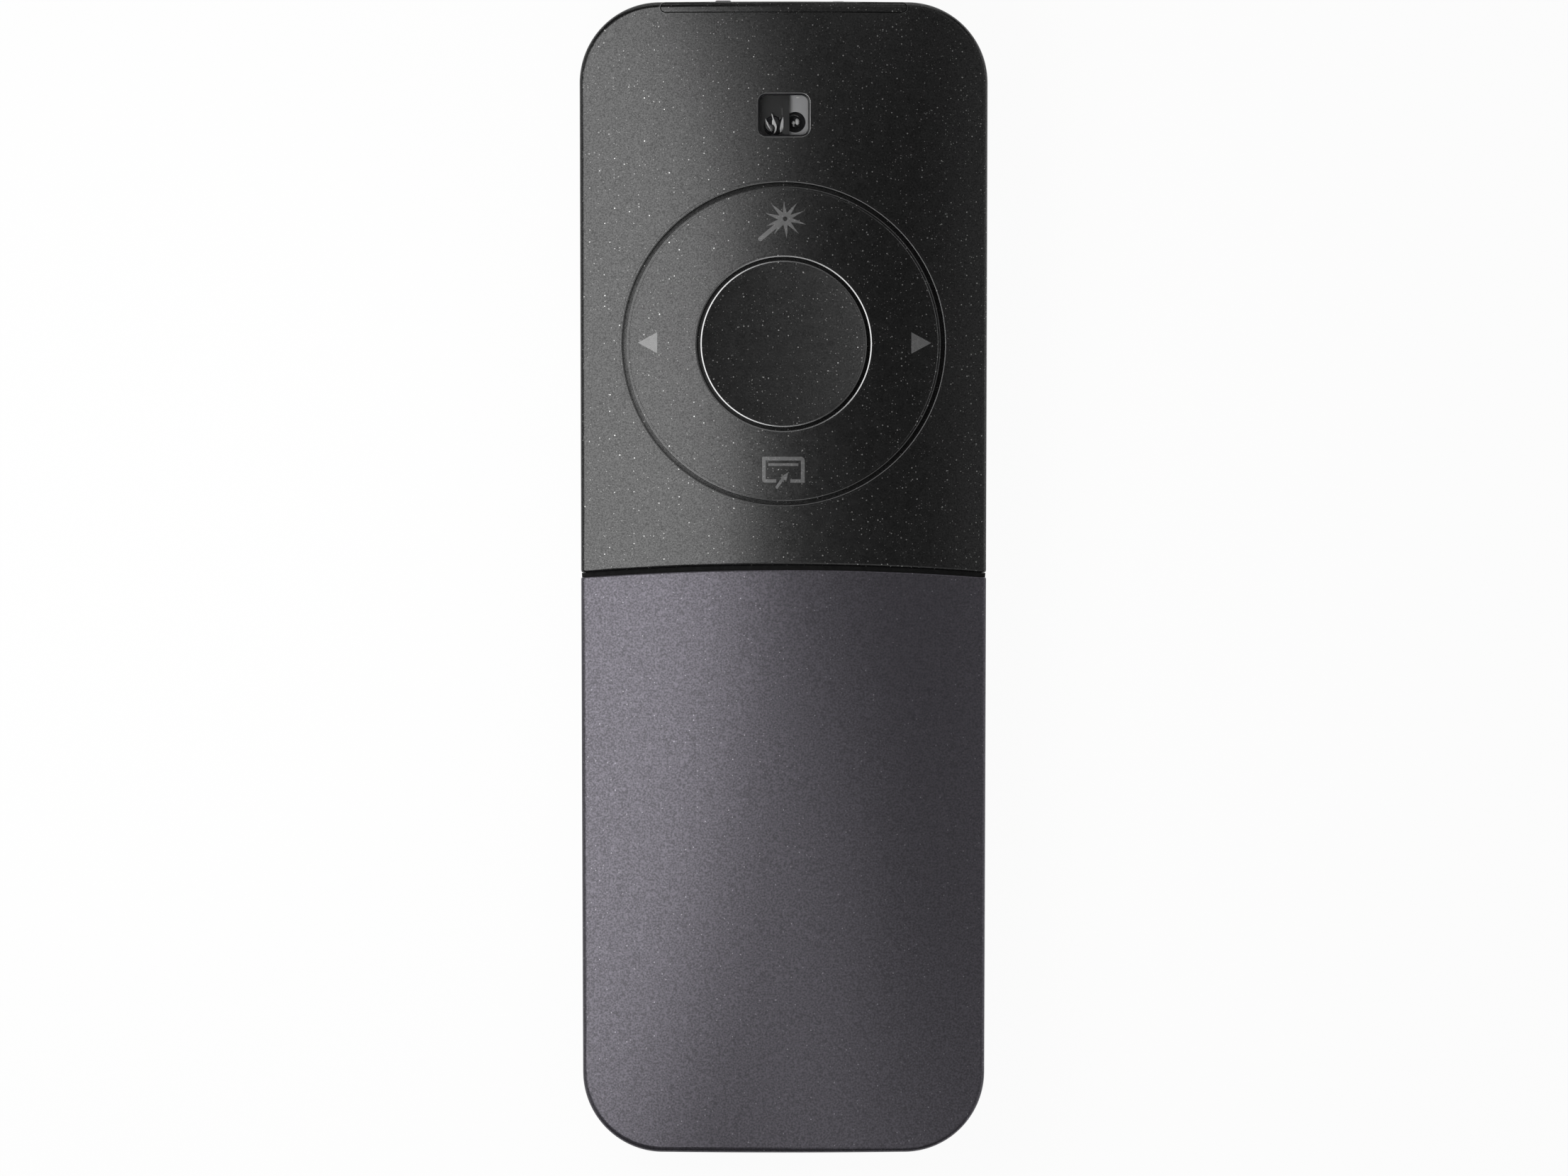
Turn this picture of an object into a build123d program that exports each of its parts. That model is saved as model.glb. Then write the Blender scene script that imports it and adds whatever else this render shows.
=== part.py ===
"""Slim wireless presentation clicker that works as a mouse when it is turned over.

Row frame: +X to the right and +Y towards the nose, as seen with the presenter face up, and +Z
out of the presenter face. The origin is at the middle of the footprint, on the surface that the
belly rests on. All sizes are in millimetres and degrees.
"""

import os
from math import asin, atan2, cos, degrees, radians, sin, sqrt, tan

from build123d import *

# ----------------------------------------------------------------- driving dimensions: case
body_length = 113.1
nose_width = 40.5           # at the height of the brim's middle
tail_width = 39.7
side_bulge = 0.18           # the long sides are barrelled a little
corner_radius = 8.0
mid_height = 12.6           # presenter face above the table in the middle of the case
face_bow = 1.5              # how much higher the face is at both ends
face_crown = 130.0          # radius of the face across the case
ceiling_depth = 2.1         # uncrowned inside of the covers, below the face
nose_depth = 7.9            # brim to belly at the nose
tail_depth = 9.5            # brim to belly at the tail
wall_draft = 5.0            # the walls lean in towards the belly
belly_flat_front = -1.0     # the belly is flat between these two stations
belly_flat_rear = -36.0
brim_radius = 0.5
belly_radius = 3.5
wall = 1.3
cover_depth = 6.6           # parting line, below the presenter face
parting_gap = 0.12
seam_y = 0.93               # middle of the gap between the black and the grey half
seam_sagitta = 0.77         # how far the seam bends back at the sides
seam_gap = 0.45
front_seam_radius = 0.25
rear_seam_radius = 0.15

# ----------------------------------------------------------------- driving dimensions: chassis
fit_gap = 0.12              # cover to chassis
frame_wall = 1.0
frame_depth = 2.7           # top of the chassis below the presenter face
rail_drop = 0.4             # rails reach this far below the board
rail_setback = 6.55         # front end of the rails behind the nose
tray_bottom = 2.2
tray_thickness = 0.9
bulkhead_ahead = 0.67       # rear face of the bulkhead ahead of the seam
bulkhead_thickness = 1.8
snap_length = 4.0
snap_depth = 0.35
snap_height = 0.8
snap_drop = 4.7             # snaps below the presenter face
snap_from_end = (12.55, 18.55)      # outer snaps from the tail and from the nose
snap_from_seam = (14.93, 7.07)      # inner snaps behind and ahead of the seam

# ----------------------------------------------------------------- driving dimensions: board
board_depth = 5.1           # underside of the board below the presenter face
board_thickness = 0.8
board_rear_gap = 1.2        # behind the board, to the bulkhead
board_setback = 4.95        # front edge behind the nose
board_gap = 0.2             # board edge to chassis
board_screw_inset = 5.525   # from the side of the case
board_screw_rear = 3.4      # ahead of the board's rear edge
board_screw_front = 3.35    # behind the middle of the window
screw_radius = 0.7
screw_head_radius = 1.3
screw_head_height = 0.7
screw_length = 2.6
slot_width = 0.3            # cross slots in the screw heads
slot_depth = 0.3
thread_gap = 0.03
hole_gap = 0.15
tip_gap = 0.1
boss_radius = 1.6

# ----------------------------------------------------------------- driving dimensions: keys
ring_shift = 0.025          # ring behind the middle of its room
well_radius = 15.88
ring_radius = 15.45
ring_bore = 8.62
center_radius = 8.18
key_edge = 0.12             # edge break round the keys and their wells
center_edge = 0.18
key_tilt = 1.0              # each way, about both pivots
center_travel = 0.2
dome_height = 0.3
dome_radius = 1.9
dome_sheet = 0.08
dome_orbit = 10.6
nub_radius = 0.8
touch_gap = 0.02            # nub to dome at rest
carrier_inner = 13.35
carrier_outer = 15.15
carrier_thickness = 0.8
tilt_clearance = 0.036      # left under the carrier and the ring at full tilt
trunnion_radius = 0.3
trunnion_gap = 0.05
trunnion_inset = 1.925      # end of the outer trunnions, from the side of the case
trunnion_root = 0.5         # inside the carrier's rim
trunnion_end_gap = 0.1
lug_inner = 11.9
lug_outer = 13.1
lug_width = 1.8
lug_drop = 0.23             # lug ends this far below the pivot, so that its bore is a clip
lug_relief = 0.2            # bore runs on past the lug
flange_thickness = 0.4
ring_flange_radius = 16.6
center_flange_radius = 9.3
center_flange_gap = 0.1     # left above the centre key's flange at full tilt
dish_depth = 0.30           # below the rim at the left and the right
guide_x = 5.5
guide_radius = 0.5
guide_gap = 0.06

# ----------------------------------------------------------------- driving dimensions: mouse side
strip_width = 5.0
strip_gap = 0.3
click_travel = 0.45         # at the nose
axle_ahead = 1.8            # in front of the bulkhead
axle_z = 3.2
axle_radius = 0.6
axle_length = 31.0
axle_edge = 0.15
axle_gap = 0.05
axle_seat_gap = 0.01
knuckle_radius = 1.25
knuckle_width = 2.0
knuckle_stations = (5.6, 12.0)
axle_post_width = 1.8
axle_post_stations = (-15.0, -8.8, 0.0, 8.8, 15.0)
mouse_switch_x = 10.0
mouse_switch_ahead = 7.1    # of the ring's middle
mouse_switch_size = 5.0
mouse_switch_height = 1.9
mouse_switch_corner = 0.4
plunger_radius = 1.0
plunger_reach = 0.7         # plunger tip below the switch body
plunger_tail = 0.6          # plunger inside the switch body
plunger_gap = 0.08
strip_post_radius = 0.9
strip_post_rear = 5.8       # ahead of the axle
strip_post_front = 4.35     # behind the middle of the window
film_thickness = 0.2
film_width = 4.0
film_from_post = 2.0        # rear end of the film ahead of the rear post
film_from_plug = 0.4        # front end of the film behind its connector

# ----------------------------------------------------------------- driving dimensions: optics
window_setback = 11.2       # middle of the window behind the nose
window_width = 5.3
window_length = 4.4
window_corner = 0.95
lens_gap = 0.06
lens_recess = 0.35
lens_margin = 0.7
lens_flange = 0.45
shroud_floor = 0.4
shroud_side = 0.4
shroud_bar = 0.6
bar_x = 0.28
chip_width = 7.4
chip_length = 6.6
chip_height = 1.1
chip_floor = 0.6
aperture_x = 1.2
aperture_y = -0.65
aperture_radius = 0.93
emitter_x = -1.2
emitter_radius = 0.9
emitter_height = 0.9
emitter_gap = 0.1

# ----------------------------------------------------------------- driving dimensions: glide
glide_length = 24.1
glide_width = 0.82
glide_back = 0.66           # middle of the glide behind the nose
glide_proud = 0.08
glide_groove = 0.09
glide_seat = 0.55           # groove floor below the face

# ----------------------------------------------------------------- driving dimensions: nose
nose_cut = 4.0              # openings in the nose are cut from this far inside
controls_lift = 1.3         # middle of the nose controls above the board
usb_width = 7.4
usb_height = 2.5
usb_depth = 6.0
usb_sheet = 0.3
usb_corner = 0.6
usb_setback = 0.45          # mouth behind the nose
usb_mouth_gap = 0.2
tongue_width = 4.8
tongue_thickness = 0.7
tongue_setback = 0.9        # behind the mouth
tongue_root = 1.3
knob_x = -5.95
knob_width = 1.64
knob_height = 1.9
knob_proud = 0.2            # beyond the brim
knob_corner = 0.3
knob_edge = 0.2
slide_travel = 1.6
slot_gap = 0.1
plate_setback = 1.85        # front face of the plates behind the nose
plate_thickness = 0.6
knob_plate_left = 2.75
knob_plate_right = 1.95
knob_plate_height = 2.4
pair_x = 5.36
pair_width = 1.3
pair_height = 1.7
pair_proud = 0.12
pair_travel = 0.25
pair_corner = 0.25
pair_edge = 0.15
pair_flange_side = 0.45
pair_flange_height = 2.4
pair_stem_drop = 0.1        # plunger below the middle of the button
lever_width = 1.1
lever_height = 0.7
lever_tail = 1.2            # lever inside the switch
lever_gap = 0.08
nose_switch_setback = 4.35
nose_switch_depth = 2.6
nose_switch_height = 1.9
power_switch_width = 5.6
pair_switch_width = 2.8
pipe_x = 9.4
pipe_radius = 0.5
led_width = 1.6
led_depth = 1.0
led_height = 0.5
led_gap = 0.05
led_setback = 5.95

# ----------------------------------------------------------------- driving dimensions: power
battery_length = 35.0
battery_headroom = 1.0      # under the ceiling
battery_side_gap = 0.8      # to the screw heads
battery_shift = 0.735       # battery behind the middle of its room
battery_corner = 1.5
pad_thickness = 0.4
pad_inset = 2.0
guard_inset = 2.0           # battery protection board
guard_length = 3.0
guard_thickness = 1.6
guard_lift = 0.5
guard_edge = 0.3
lead_radius = 0.3
lead_pitch = 1.5
lead_lift = 0.4             # leads above the middle of the protection board
lead_end_share = 0.3137     # of the leads' span, for each straight end
header_x = 6.0
header_width = 4.6
header_back = 0.3           # ahead of the board's rear edge
header_length = 2.6
header_height = 0.95
header_wall = 0.2
header_gap = 0.3
plug_width = 3.7
plug_height = 0.5
plug_length = 2.7
plug_behind = 1.2           # sticks out of the header
plug_ridge = 0.15
plug_gap = 0.05
case_screw_inset = 5.225    # from the side of the case
case_screw_from_battery = (-4.0, 21.0)      # stations from the middle of the battery
case_screw_radius = 0.8
case_screw_head = 1.4
case_screw_length = 2.4
case_boss_radius = 1.6

# ----------------------------------------------------------------- driving dimensions: chips
radio_size = (9.0, 10.0, 1.5)
radio_x = -8.6
radio_behind = 5.9          # chips behind the middle of the ring
radio_corner = 0.5
gyro_size = (3.0, 2.5, 0.9)
gyro_x = 6.2
gyro_behind = 4.9
charger_size = (3.0, 3.0, 0.8)
charger_x = 9.0
charger_behind = 0.15       # behind the middle of the window
antenna_inset = 6.325       # from the side of the case
antenna_behind = 10.9
antenna_length = 12.0
antenna_drop = 1.6
antenna_sheet = 0.3
antenna_strip = 0.8
antenna_pitch = 3.0
film_plug_size = (5.2, 2.0, 1.1)
film_plug_behind = 8.95
film_plug_corner = 0.3
capacitor_size = (1.6, 0.9, 0.8)
window_capacitors = ((-12.0, -1.85), (-12.0, 0.65), (-9.4, -1.85))
radio_capacitors = ((-2.6, 0.0), (-2.6, 2.6))       # from the rear end of the antenna

# ----------------------------------------------------------------- worked out: heights
tall = 4 * mid_height                                   # reaches through the whole case
brim_height = mid_height + face_bow
nose_rise = brim_height - nose_depth
tail_rise = brim_height - tail_depth
frame_top = mid_height - frame_depth
snap_bottom = mid_height - snap_drop
board_bottom = mid_height - board_depth
board_top = board_bottom + board_thickness
rail_bottom = board_bottom - rail_drop
tray_top = tray_bottom + tray_thickness
dome_top = board_top + dome_height
tilt_room = carrier_outer * sin(radians(key_tilt)) + tilt_clearance
carrier_bottom = board_top + tilt_room
carrier_top = carrier_bottom + carrier_thickness
pivot_z = (carrier_bottom + carrier_top) / 2
ring_under = carrier_top + tilt_room
face_zone = ring_under + 1.5                            # only the presenter face is above this
nub_tip = dome_top + touch_gap
center_under = (ring_under - ring_bore * sin(radians(key_tilt)) - center_flange_gap
                - flange_thickness)
switch_under = board_bottom - mouse_switch_height
plunger_tip = switch_under - plunger_reach
shroud_bottom = board_top + chip_height
nose_controls_z = board_top + controls_lift
battery_bottom = tray_top + pad_thickness
battery_top = mid_height - ceiling_depth - battery_headroom
guard_middle = (battery_bottom + battery_top) / 2 + guard_lift
plug_middle = board_bottom - header_wall - plug_height / 2

# ----------------------------------------------------------------- worked out: stations along Y
half_length = body_length / 2
lean = tan(radians(wall_draft))
frame_inset = wall + fit_gap
bulkhead_y = seam_y + bulkhead_ahead
bulkhead_front = bulkhead_y + bulkhead_thickness
axle_y = bulkhead_front + axle_ahead
rail_front = half_length - rail_setback
board_rear = bulkhead_front + board_rear_gap
board_front = half_length - board_setback
window_y = half_length - window_setback
window_rear = window_y - window_length / 2 - lens_margin
ring_y = (bulkhead_front + window_rear) / 2 - ring_shift
mouse_switch_y = ring_y + mouse_switch_ahead
strip_post_stations = (axle_y + strip_post_rear, window_y - strip_post_front)
film_rear = strip_post_stations[0] + film_from_post
film_plug_y = window_y - film_plug_behind
film_front = film_plug_y - film_from_plug
nose_switch_front = half_length - nose_switch_setback
nose_switch_rear = nose_switch_front - nose_switch_depth
nose_inside = half_length - nose_cut
led_y = half_length - led_setback
plate_front = half_length - plate_setback
usb_mouth = half_length - usb_setback - (brim_height - nose_controls_z) * lean
header_rear = board_rear + header_back
plug_rear = header_rear - plug_behind
plug_front = plug_rear + plug_length
tail_inside = frame_inset + frame_wall - half_length
battery_y = (bulkhead_y + tail_inside) / 2 - battery_shift
battery_front = battery_y + battery_length / 2
battery_rear = battery_y - battery_length / 2
antenna_rear = ring_y - antenna_behind
snap_stations = (snap_from_end[0] - half_length, seam_y - snap_from_seam[0],
                 seam_y + snap_from_seam[1], half_length - snap_from_end[1])

# ----------------------------------------------------------------- worked out: the rest
half_width = nose_width / 2
case_side = (nose_width + tail_width) / 4               # side of the case at mid-length
board_screw_x = case_side - board_screw_inset
case_screw_x = case_side - case_screw_inset
trunnion_reach = case_side - trunnion_inset
antenna_x = case_side - antenna_inset
battery_width = 2 * (case_screw_x - case_screw_head - battery_side_gap)
face_arc = (half_length**2 + face_bow**2) / (2 * face_bow)
face_turn = 1.5 * degrees(half_length / face_arc)       # angle that the face is bowed over
nose_arc = ((half_length - belly_flat_front) ** 2 + nose_rise**2) / (2 * nose_rise)
tail_arc = ((half_length + belly_flat_rear) ** 2 + tail_rise**2) / (2 * tail_rise)
seam_arc = (half_width**2 + seam_sagitta**2) / (2 * seam_sagitta)
click_angle = degrees(click_travel / (half_length - axle_y))
click_axis = Axis((0, axle_y, axle_z), (1, 0, 0))
low = (Align.CENTER, Align.CENTER, Align.MIN)


def face_height(y, depth=0.0):
    """Height of the bowed presenter face, or of the surface at a depth below it."""
    return mid_height + face_arc - sqrt((face_arc + depth) ** 2 - y**2)


def belly_height(y, inset=0.0):
    """Height of the belly, or of the surface inset above it."""
    if y > belly_flat_front:
        return nose_arc - sqrt((nose_arc - inset) ** 2 - (y - belly_flat_front) ** 2)
    if y < belly_flat_rear:
        return tail_arc - sqrt((tail_arc - inset) ** 2 - (y - belly_flat_rear) ** 2)
    return inset


lens_bottom = face_height(window_rear) - ceiling_depth - lens_flange - lens_gap


def rim_of(faces):
    """Edges round the outside of a patch of neighbouring faces."""
    edges = [edge for face in faces for edge in face.edges()]
    return [edge for edge in edges if sum(edge.is_same(other) for other in edges) == 1]


def plan_prism(inset, bottom, top):
    """The case's outline with its leaning walls, between two heights."""
    shrink = inset / cos(radians(wall_draft)) + (brim_height - top) * lean
    front = half_length - shrink
    middle = case_side - shrink
    spread = (nose_width - tail_width) / 4 * front / half_length
    with BuildPart(mode=Mode.PRIVATE) as prism:
        with BuildSketch(Plane.XY.offset(top)) as outline:
            with BuildLine():
                Line((-middle - spread, front), (middle + spread, front))
                ThreePointArc((middle + spread, front), (middle + side_bulge, 0),
                              (middle - spread, -front))
                Line((middle - spread, -front), (spread - middle, -front))
                ThreePointArc((spread - middle, -front), (-middle - side_bulge, 0),
                              (-middle - spread, front))
            make_face()
            fillet(outline.vertices(), corner_radius - shrink)
        extrude(amount=bottom - top, taper=wall_draft)
    return prism.part


def below_face(depth):
    """Everything further than a depth below the presenter face's centreline."""
    with BuildPart(mode=Mode.PRIVATE) as zone:
        Box(2 * nose_width, 2 * body_length, tall)
        with BuildSketch(Plane.YZ):
            with Locations((0, mid_height + face_arc)):
                Circle(face_arc + depth)
        extrude(amount=nose_width, both=True, mode=Mode.SUBTRACT)
    return zone.part


def below_crown(depth):
    """Everything further than a depth below the presenter face with its crown."""
    radius = face_crown - depth
    reach = 0.7 * nose_width
    top = -face_arc - depth                             # from the axis that the face is bowed about
    edge = -face_arc - face_crown + sqrt(radius**2 - reach**2)
    with BuildPart(mode=Mode.PRIVATE) as zone:
        with BuildSketch(Plane.XZ):
            with BuildLine():
                ThreePointArc((-reach, edge), (0, top), (reach, edge))
                Polyline((reach, edge), (reach, top - tall), (-reach, top - tall), (-reach, edge))
            make_face()
        revolve(axis=Axis.X, revolution_arc=2 * face_turn)
    return Location((0, 0, mid_height + face_arc), (-face_turn, 0, 0)) * zone.part


def above_dish():
    """Everything above the dish of the centre key, which meets the face all round the key."""
    across = (center_radius**2 + dish_depth**2) / (2 * dish_depth)
    along = 1 / (1 / across + 1 / face_crown + 1 / face_arc)
    reach = 2 * center_radius
    bottom = -across                                    # from the axis that the dish is turned about
    end = bottom + along - sqrt(along**2 - reach**2)
    turn = degrees(reach / across)
    with BuildPart(mode=Mode.PRIVATE) as zone:
        with BuildSketch(Plane.YZ):
            with BuildLine():
                ThreePointArc((-reach, end), (0, bottom), (reach, end))
                Polyline((reach, end), (reach, bottom + tall), (-reach, bottom + tall), (-reach, end))
            make_face()
        revolve(axis=Axis.Y, revolution_arc=2 * turn)
    height = face_height(ring_y) - center_radius**2 / (2 * face_crown) - dish_depth
    seat = Location((0, ring_y, height), (degrees(asin(ring_y / face_arc)), 0, 0))
    return seat * Location((0, 0, across), (0, -turn, 0)) * zone.part


def case_form(inset, roof=None):
    """The solid outside of the case, moved inwards by inset all round and closed by a roof.

    Without a roof it runs straight up past the brim.
    """
    far = half_length + 3
    high = brim_height + 1
    nose_mid = (belly_flat_front + far) / 2
    tail_mid = (belly_flat_rear - far) / 2
    with BuildPart(mode=Mode.PRIVATE) as form:
        add(plan_prism(inset, -1, high))
        with BuildSketch(Plane.YZ):
            with BuildLine():
                Line((belly_flat_rear, inset), (belly_flat_front, inset))
                ThreePointArc((belly_flat_front, inset), (nose_mid, belly_height(nose_mid, inset)),
                              (far, belly_height(far, inset)))
                Line((far, belly_height(far, inset)), (far, high))
                Line((far, high), (-far, high))
                Line((-far, high), (-far, belly_height(-far, inset)))
                ThreePointArc((-far, belly_height(-far, inset)),
                              (tail_mid, belly_height(tail_mid, inset)), (belly_flat_rear, inset))
            make_face()
        extrude(amount=nose_width, both=True, mode=Mode.INTERSECT)
        if roof:
            add(roof, mode=Mode.INTERSECT)
        if inset <= 0:
            fillet(form.faces().sort_by(Axis.Z)[-1].edges(), brim_radius - inset)
        belly = form.faces().filter_by(lambda face: face.normal_at().Z < -0.6)
        fillet(rim_of(belly), belly_radius - inset)
    return form.part


def behind_seam(shift):
    """Everything behind the curved middle line of the seam moved forward by shift."""
    with BuildPart(mode=Mode.PRIVATE) as zone:
        with Locations((0, seam_y - seam_arc, 0)):
            Cylinder(seam_arc + shift, tall)
    return zone.part


def half_case(outer, shift, radius):
    """The solid half of the case on one side of the seam, with the seam's edges rounded."""
    with BuildPart(mode=Mode.PRIVATE) as half:
        add(outer)
        add(behind_seam(shift), mode=Mode.SUBTRACT if shift > 0 else Mode.INTERSECT)
        seam = [face for face in half.faces().filter_by(GeomType.CYLINDER)
                if abs(face.radius - seam_arc - shift) < 0.01]
        fillet(rim_of(seam), radius)
    return half.part


def block(x0, x1, y0, y1, z0, z1):
    """A box between two corners."""
    with BuildPart(mode=Mode.PRIVATE) as piece:
        with Locations((x0, y0, z0)):
            Box(x1 - x0, y1 - y0, z1 - z0, align=(Align.MIN, Align.MIN, Align.MIN))
    return piece.part


def upright(x, y, radius, z0, z1):
    """A cylinder between two heights."""
    with BuildPart(mode=Mode.PRIVATE) as piece:
        with Locations((x, y, z0)):
            Cylinder(radius, z1 - z0, align=low)
    return piece.part


def along_y(x, z, radius, y0, y1):
    """A cylinder along +Y between two stations."""
    with BuildPart(mode=Mode.PRIVATE) as piece:
        with BuildSketch(Plane.XZ.offset(-y0)):
            with Locations((x, z)):
                Circle(radius)
        extrude(amount=-(y1 - y0))
    return piece.part


def along_x(y, z, radius, x0, x1):
    """A cylinder along +X between two stations."""
    with BuildPart(mode=Mode.PRIVATE) as piece:
        with BuildSketch(Plane.YZ.offset(x0)):
            with Locations((y, z)):
                Circle(radius)
        extrude(amount=x1 - x0)
    return piece.part


def pill(width, length, y, z0, z1):
    """An upright prism with round ends, across the case."""
    with BuildPart(mode=Mode.PRIVATE) as piece:
        with BuildSketch(Plane.XY.offset(z0)):
            with Locations((0, y)):
                SlotOverall(length, width)
        extrude(amount=z1 - z0)
    return piece.part


def window_prism(margin, corner, z0, z1):
    """An upright prism with the outline of the sensor window, grown by a margin."""
    with BuildPart(mode=Mode.PRIVATE) as piece:
        with BuildSketch(Plane.XY.offset(z0)):
            with Locations((0, window_y)):
                RectangleRounded(window_width + 2 * margin, window_length + 2 * margin, corner)
        extrude(amount=z1 - z0)
    return piece.part


def snap_band(extra):
    """The ridges that hold the covers to the chassis, grown by extra."""
    with BuildPart(mode=Mode.PRIVATE) as band:
        add(plan_prism(frame_inset - snap_depth - extra, snap_bottom - extra,
                       snap_bottom + snap_height + extra))
        add(plan_prism(frame_inset + frame_wall / 2, 0, brim_height), mode=Mode.SUBTRACT)
        with Locations(*[(0, y, 0) for y in snap_stations]):
            Box(nose_width, snap_length + 2 * extra, tall, mode=Mode.INTERSECT)
    return band.part


# ----------------------------------------------------------------- forms that many pieces share
outer = case_form(0, below_crown(0))
cavity = case_form(wall, below_face(ceiling_depth))
frame_outside = case_form(frame_inset)
frame_inside = case_form(frame_inset + frame_wall)
groove_floor = below_crown(glide_seat)
key_dish = above_dish()
front_half = half_case(outer, seam_gap / 2, front_seam_radius)
rear_half = half_case(outer, -seam_gap / 2, rear_seam_radius)
mouse_side = below_face(cover_depth)
mouse_side_low = below_face(cover_depth + parting_gap)
mouse_side_pressed = mouse_side_low.rotate(click_axis, -click_angle)
snap_pockets = snap_band(fit_gap)
board_screws_at = [(x, y) for x in (-board_screw_x, board_screw_x)
                   for y in (board_rear + board_screw_rear, window_y - board_screw_front)]
case_screws_at = [(x, battery_y + y) for x in (-case_screw_x, case_screw_x)
                  for y in case_screw_from_battery]
key_orbit = {"up": (0, 1), "down": (0, -1), "left": (-1, 0), "right": (1, 0)}

# ----------------------------------------------------------------- covers
with BuildPart(mode=Mode.PRIVATE) as groove:
    add(pill(glide_width + 2 * glide_groove, glide_length + 2 * glide_groove,
             half_length - glide_back, mid_height, tall))
    add(groove_floor, mode=Mode.SUBTRACT)

with BuildPart() as front_cover:
    add(front_half)
    add(cavity, mode=Mode.SUBTRACT)
    for x, y in board_screws_at:
        add(upright(x, y, boss_radius, board_top, mid_height))
    add(front_half, mode=Mode.INTERSECT)
    add(mouse_side, mode=Mode.SUBTRACT)
    for x, y in board_screws_at:
        add(upright(x, y, screw_radius + thread_gap, 0, board_bottom + screw_length + tip_gap),
            mode=Mode.SUBTRACT)
    add(upright(0, ring_y, well_radius, 0, tall), mode=Mode.SUBTRACT)
    well = front_cover.edges().filter_by(
        lambda edge: (edge @ 0.3).Z > face_zone
        and abs((edge @ 0.3 - Vector(0, ring_y, (edge @ 0.3).Z)).length - well_radius) < 0.01)
    chamfer(well, key_edge)
    add(window_prism(0, window_corner, 0, tall), mode=Mode.SUBTRACT)
    add(groove.part, mode=Mode.SUBTRACT)
    add(block(-usb_width / 2 - usb_mouth_gap, usb_width / 2 + usb_mouth_gap, nose_inside,
              half_length + 1, board_top - usb_mouth_gap, board_top + usb_height + usb_mouth_gap),
        mode=Mode.SUBTRACT)
    add(block(knob_x - knob_width / 2 - slide_travel - slot_gap, knob_x + knob_width / 2 + slot_gap,
              nose_inside, half_length + 1, nose_controls_z - knob_height / 2 - slot_gap,
              nose_controls_z + knob_height / 2 + slot_gap), mode=Mode.SUBTRACT)
    add(block(pair_x - pair_width / 2 - slot_gap, pair_x + pair_width / 2 + slot_gap,
              nose_inside, half_length + 1, nose_controls_z - pair_height / 2 - slot_gap,
              nose_controls_z + pair_height / 2 + slot_gap), mode=Mode.SUBTRACT)
    add(along_y(pipe_x, nose_controls_z, pipe_radius + thread_gap, nose_inside,
                half_length + 1), mode=Mode.SUBTRACT)
    add(snap_pockets, mode=Mode.SUBTRACT)

with BuildPart() as rear_cover:
    add(rear_half)
    add(cavity, mode=Mode.SUBTRACT)
    add(mouse_side, mode=Mode.SUBTRACT)
    add(snap_pockets, mode=Mode.SUBTRACT)

with BuildPart() as palm_cover:
    add(rear_half)
    add(cavity, mode=Mode.SUBTRACT)
    for x, y in case_screws_at:
        add(upright(x, y, case_boss_radius, 0, tray_bottom))
    add(rear_half, mode=Mode.INTERSECT)
    add(mouse_side_low, mode=Mode.INTERSECT)
    for x, y in case_screws_at:
        add(upright(x, y, case_screw_radius + thread_gap, tray_top - case_screw_length - tip_gap,
                    tall), mode=Mode.SUBTRACT)

# ----------------------------------------------------------------- chassis
with BuildPart() as chassis:
    add(frame_outside)
    add(frame_inside, mode=Mode.SUBTRACT)
    add(block(-half_width, half_width, -half_length, rail_front, 0, frame_top),
        mode=Mode.INTERSECT)
    add(block(-half_width, half_width, bulkhead_y, half_length, 0, rail_bottom),
        mode=Mode.SUBTRACT)
    add(block(-half_width, half_width, -half_length, bulkhead_y, tray_bottom, tray_top))
    add(block(-half_width, half_width, bulkhead_y, bulkhead_y + bulkhead_thickness, tray_bottom,
              frame_top))
    for x in axle_post_stations:
        add(block(x - axle_post_width / 2, x + axle_post_width / 2, bulkhead_y,
                  axle_y + 2 * axle_radius, axle_z - 2 * axle_radius, axle_z + 2.2 * axle_radius))
    add(frame_outside, mode=Mode.INTERSECT)
    add(block(-half_width, half_width, -half_length, half_length, 0, tray_bottom),
        mode=Mode.SUBTRACT)
    add(snap_band(0))
    add(along_x(axle_y, axle_z, axle_radius + axle_seat_gap, -half_width, half_width),
        mode=Mode.SUBTRACT)
    add(along_x(ring_y, pivot_z, trunnion_radius + trunnion_gap, -half_width, half_width),
        mode=Mode.SUBTRACT)
    add(block(header_x - header_width / 2 - header_gap, header_x + header_width / 2 + header_gap,
              bulkhead_y - 1, half_length, board_bottom - header_height - header_gap, tall),
        mode=Mode.SUBTRACT)
    for x, y in case_screws_at:
        add(upright(x, y, case_screw_radius + hole_gap, 0, tray_top + 1), mode=Mode.SUBTRACT)

# ----------------------------------------------------------------- mouse side
with BuildPart() as mouse_front:
    add(front_half)
    add(cavity, mode=Mode.SUBTRACT)
    add(mouse_side_low, mode=Mode.INTERSECT)

with BuildPart() as mouse_button_left:
    add(mouse_front.part)
    for x in knuckle_stations:
        add(along_x(axle_y, axle_z, knuckle_radius, x - knuckle_width / 2, x + knuckle_width / 2))
        add(block(x - knuckle_width / 2, x + knuckle_width / 2, axle_y - knuckle_radius,
                  axle_y + knuckle_radius, wall / 2, axle_z))
    add(upright(mouse_switch_x, mouse_switch_y, 1.5 * plunger_radius, wall / 2,
                plunger_tip - touch_gap))
    add(front_half, mode=Mode.INTERSECT)
    add(mouse_side_pressed, mode=Mode.INTERSECT)
    add(block(strip_width / 2 + strip_gap, nose_width, -half_length, half_length + 1, -1, tall),
        mode=Mode.INTERSECT)
    add(along_x(axle_y, axle_z, axle_radius + axle_gap, 0, knuckle_stations[-1] + knuckle_width),
        mode=Mode.SUBTRACT)

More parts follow.
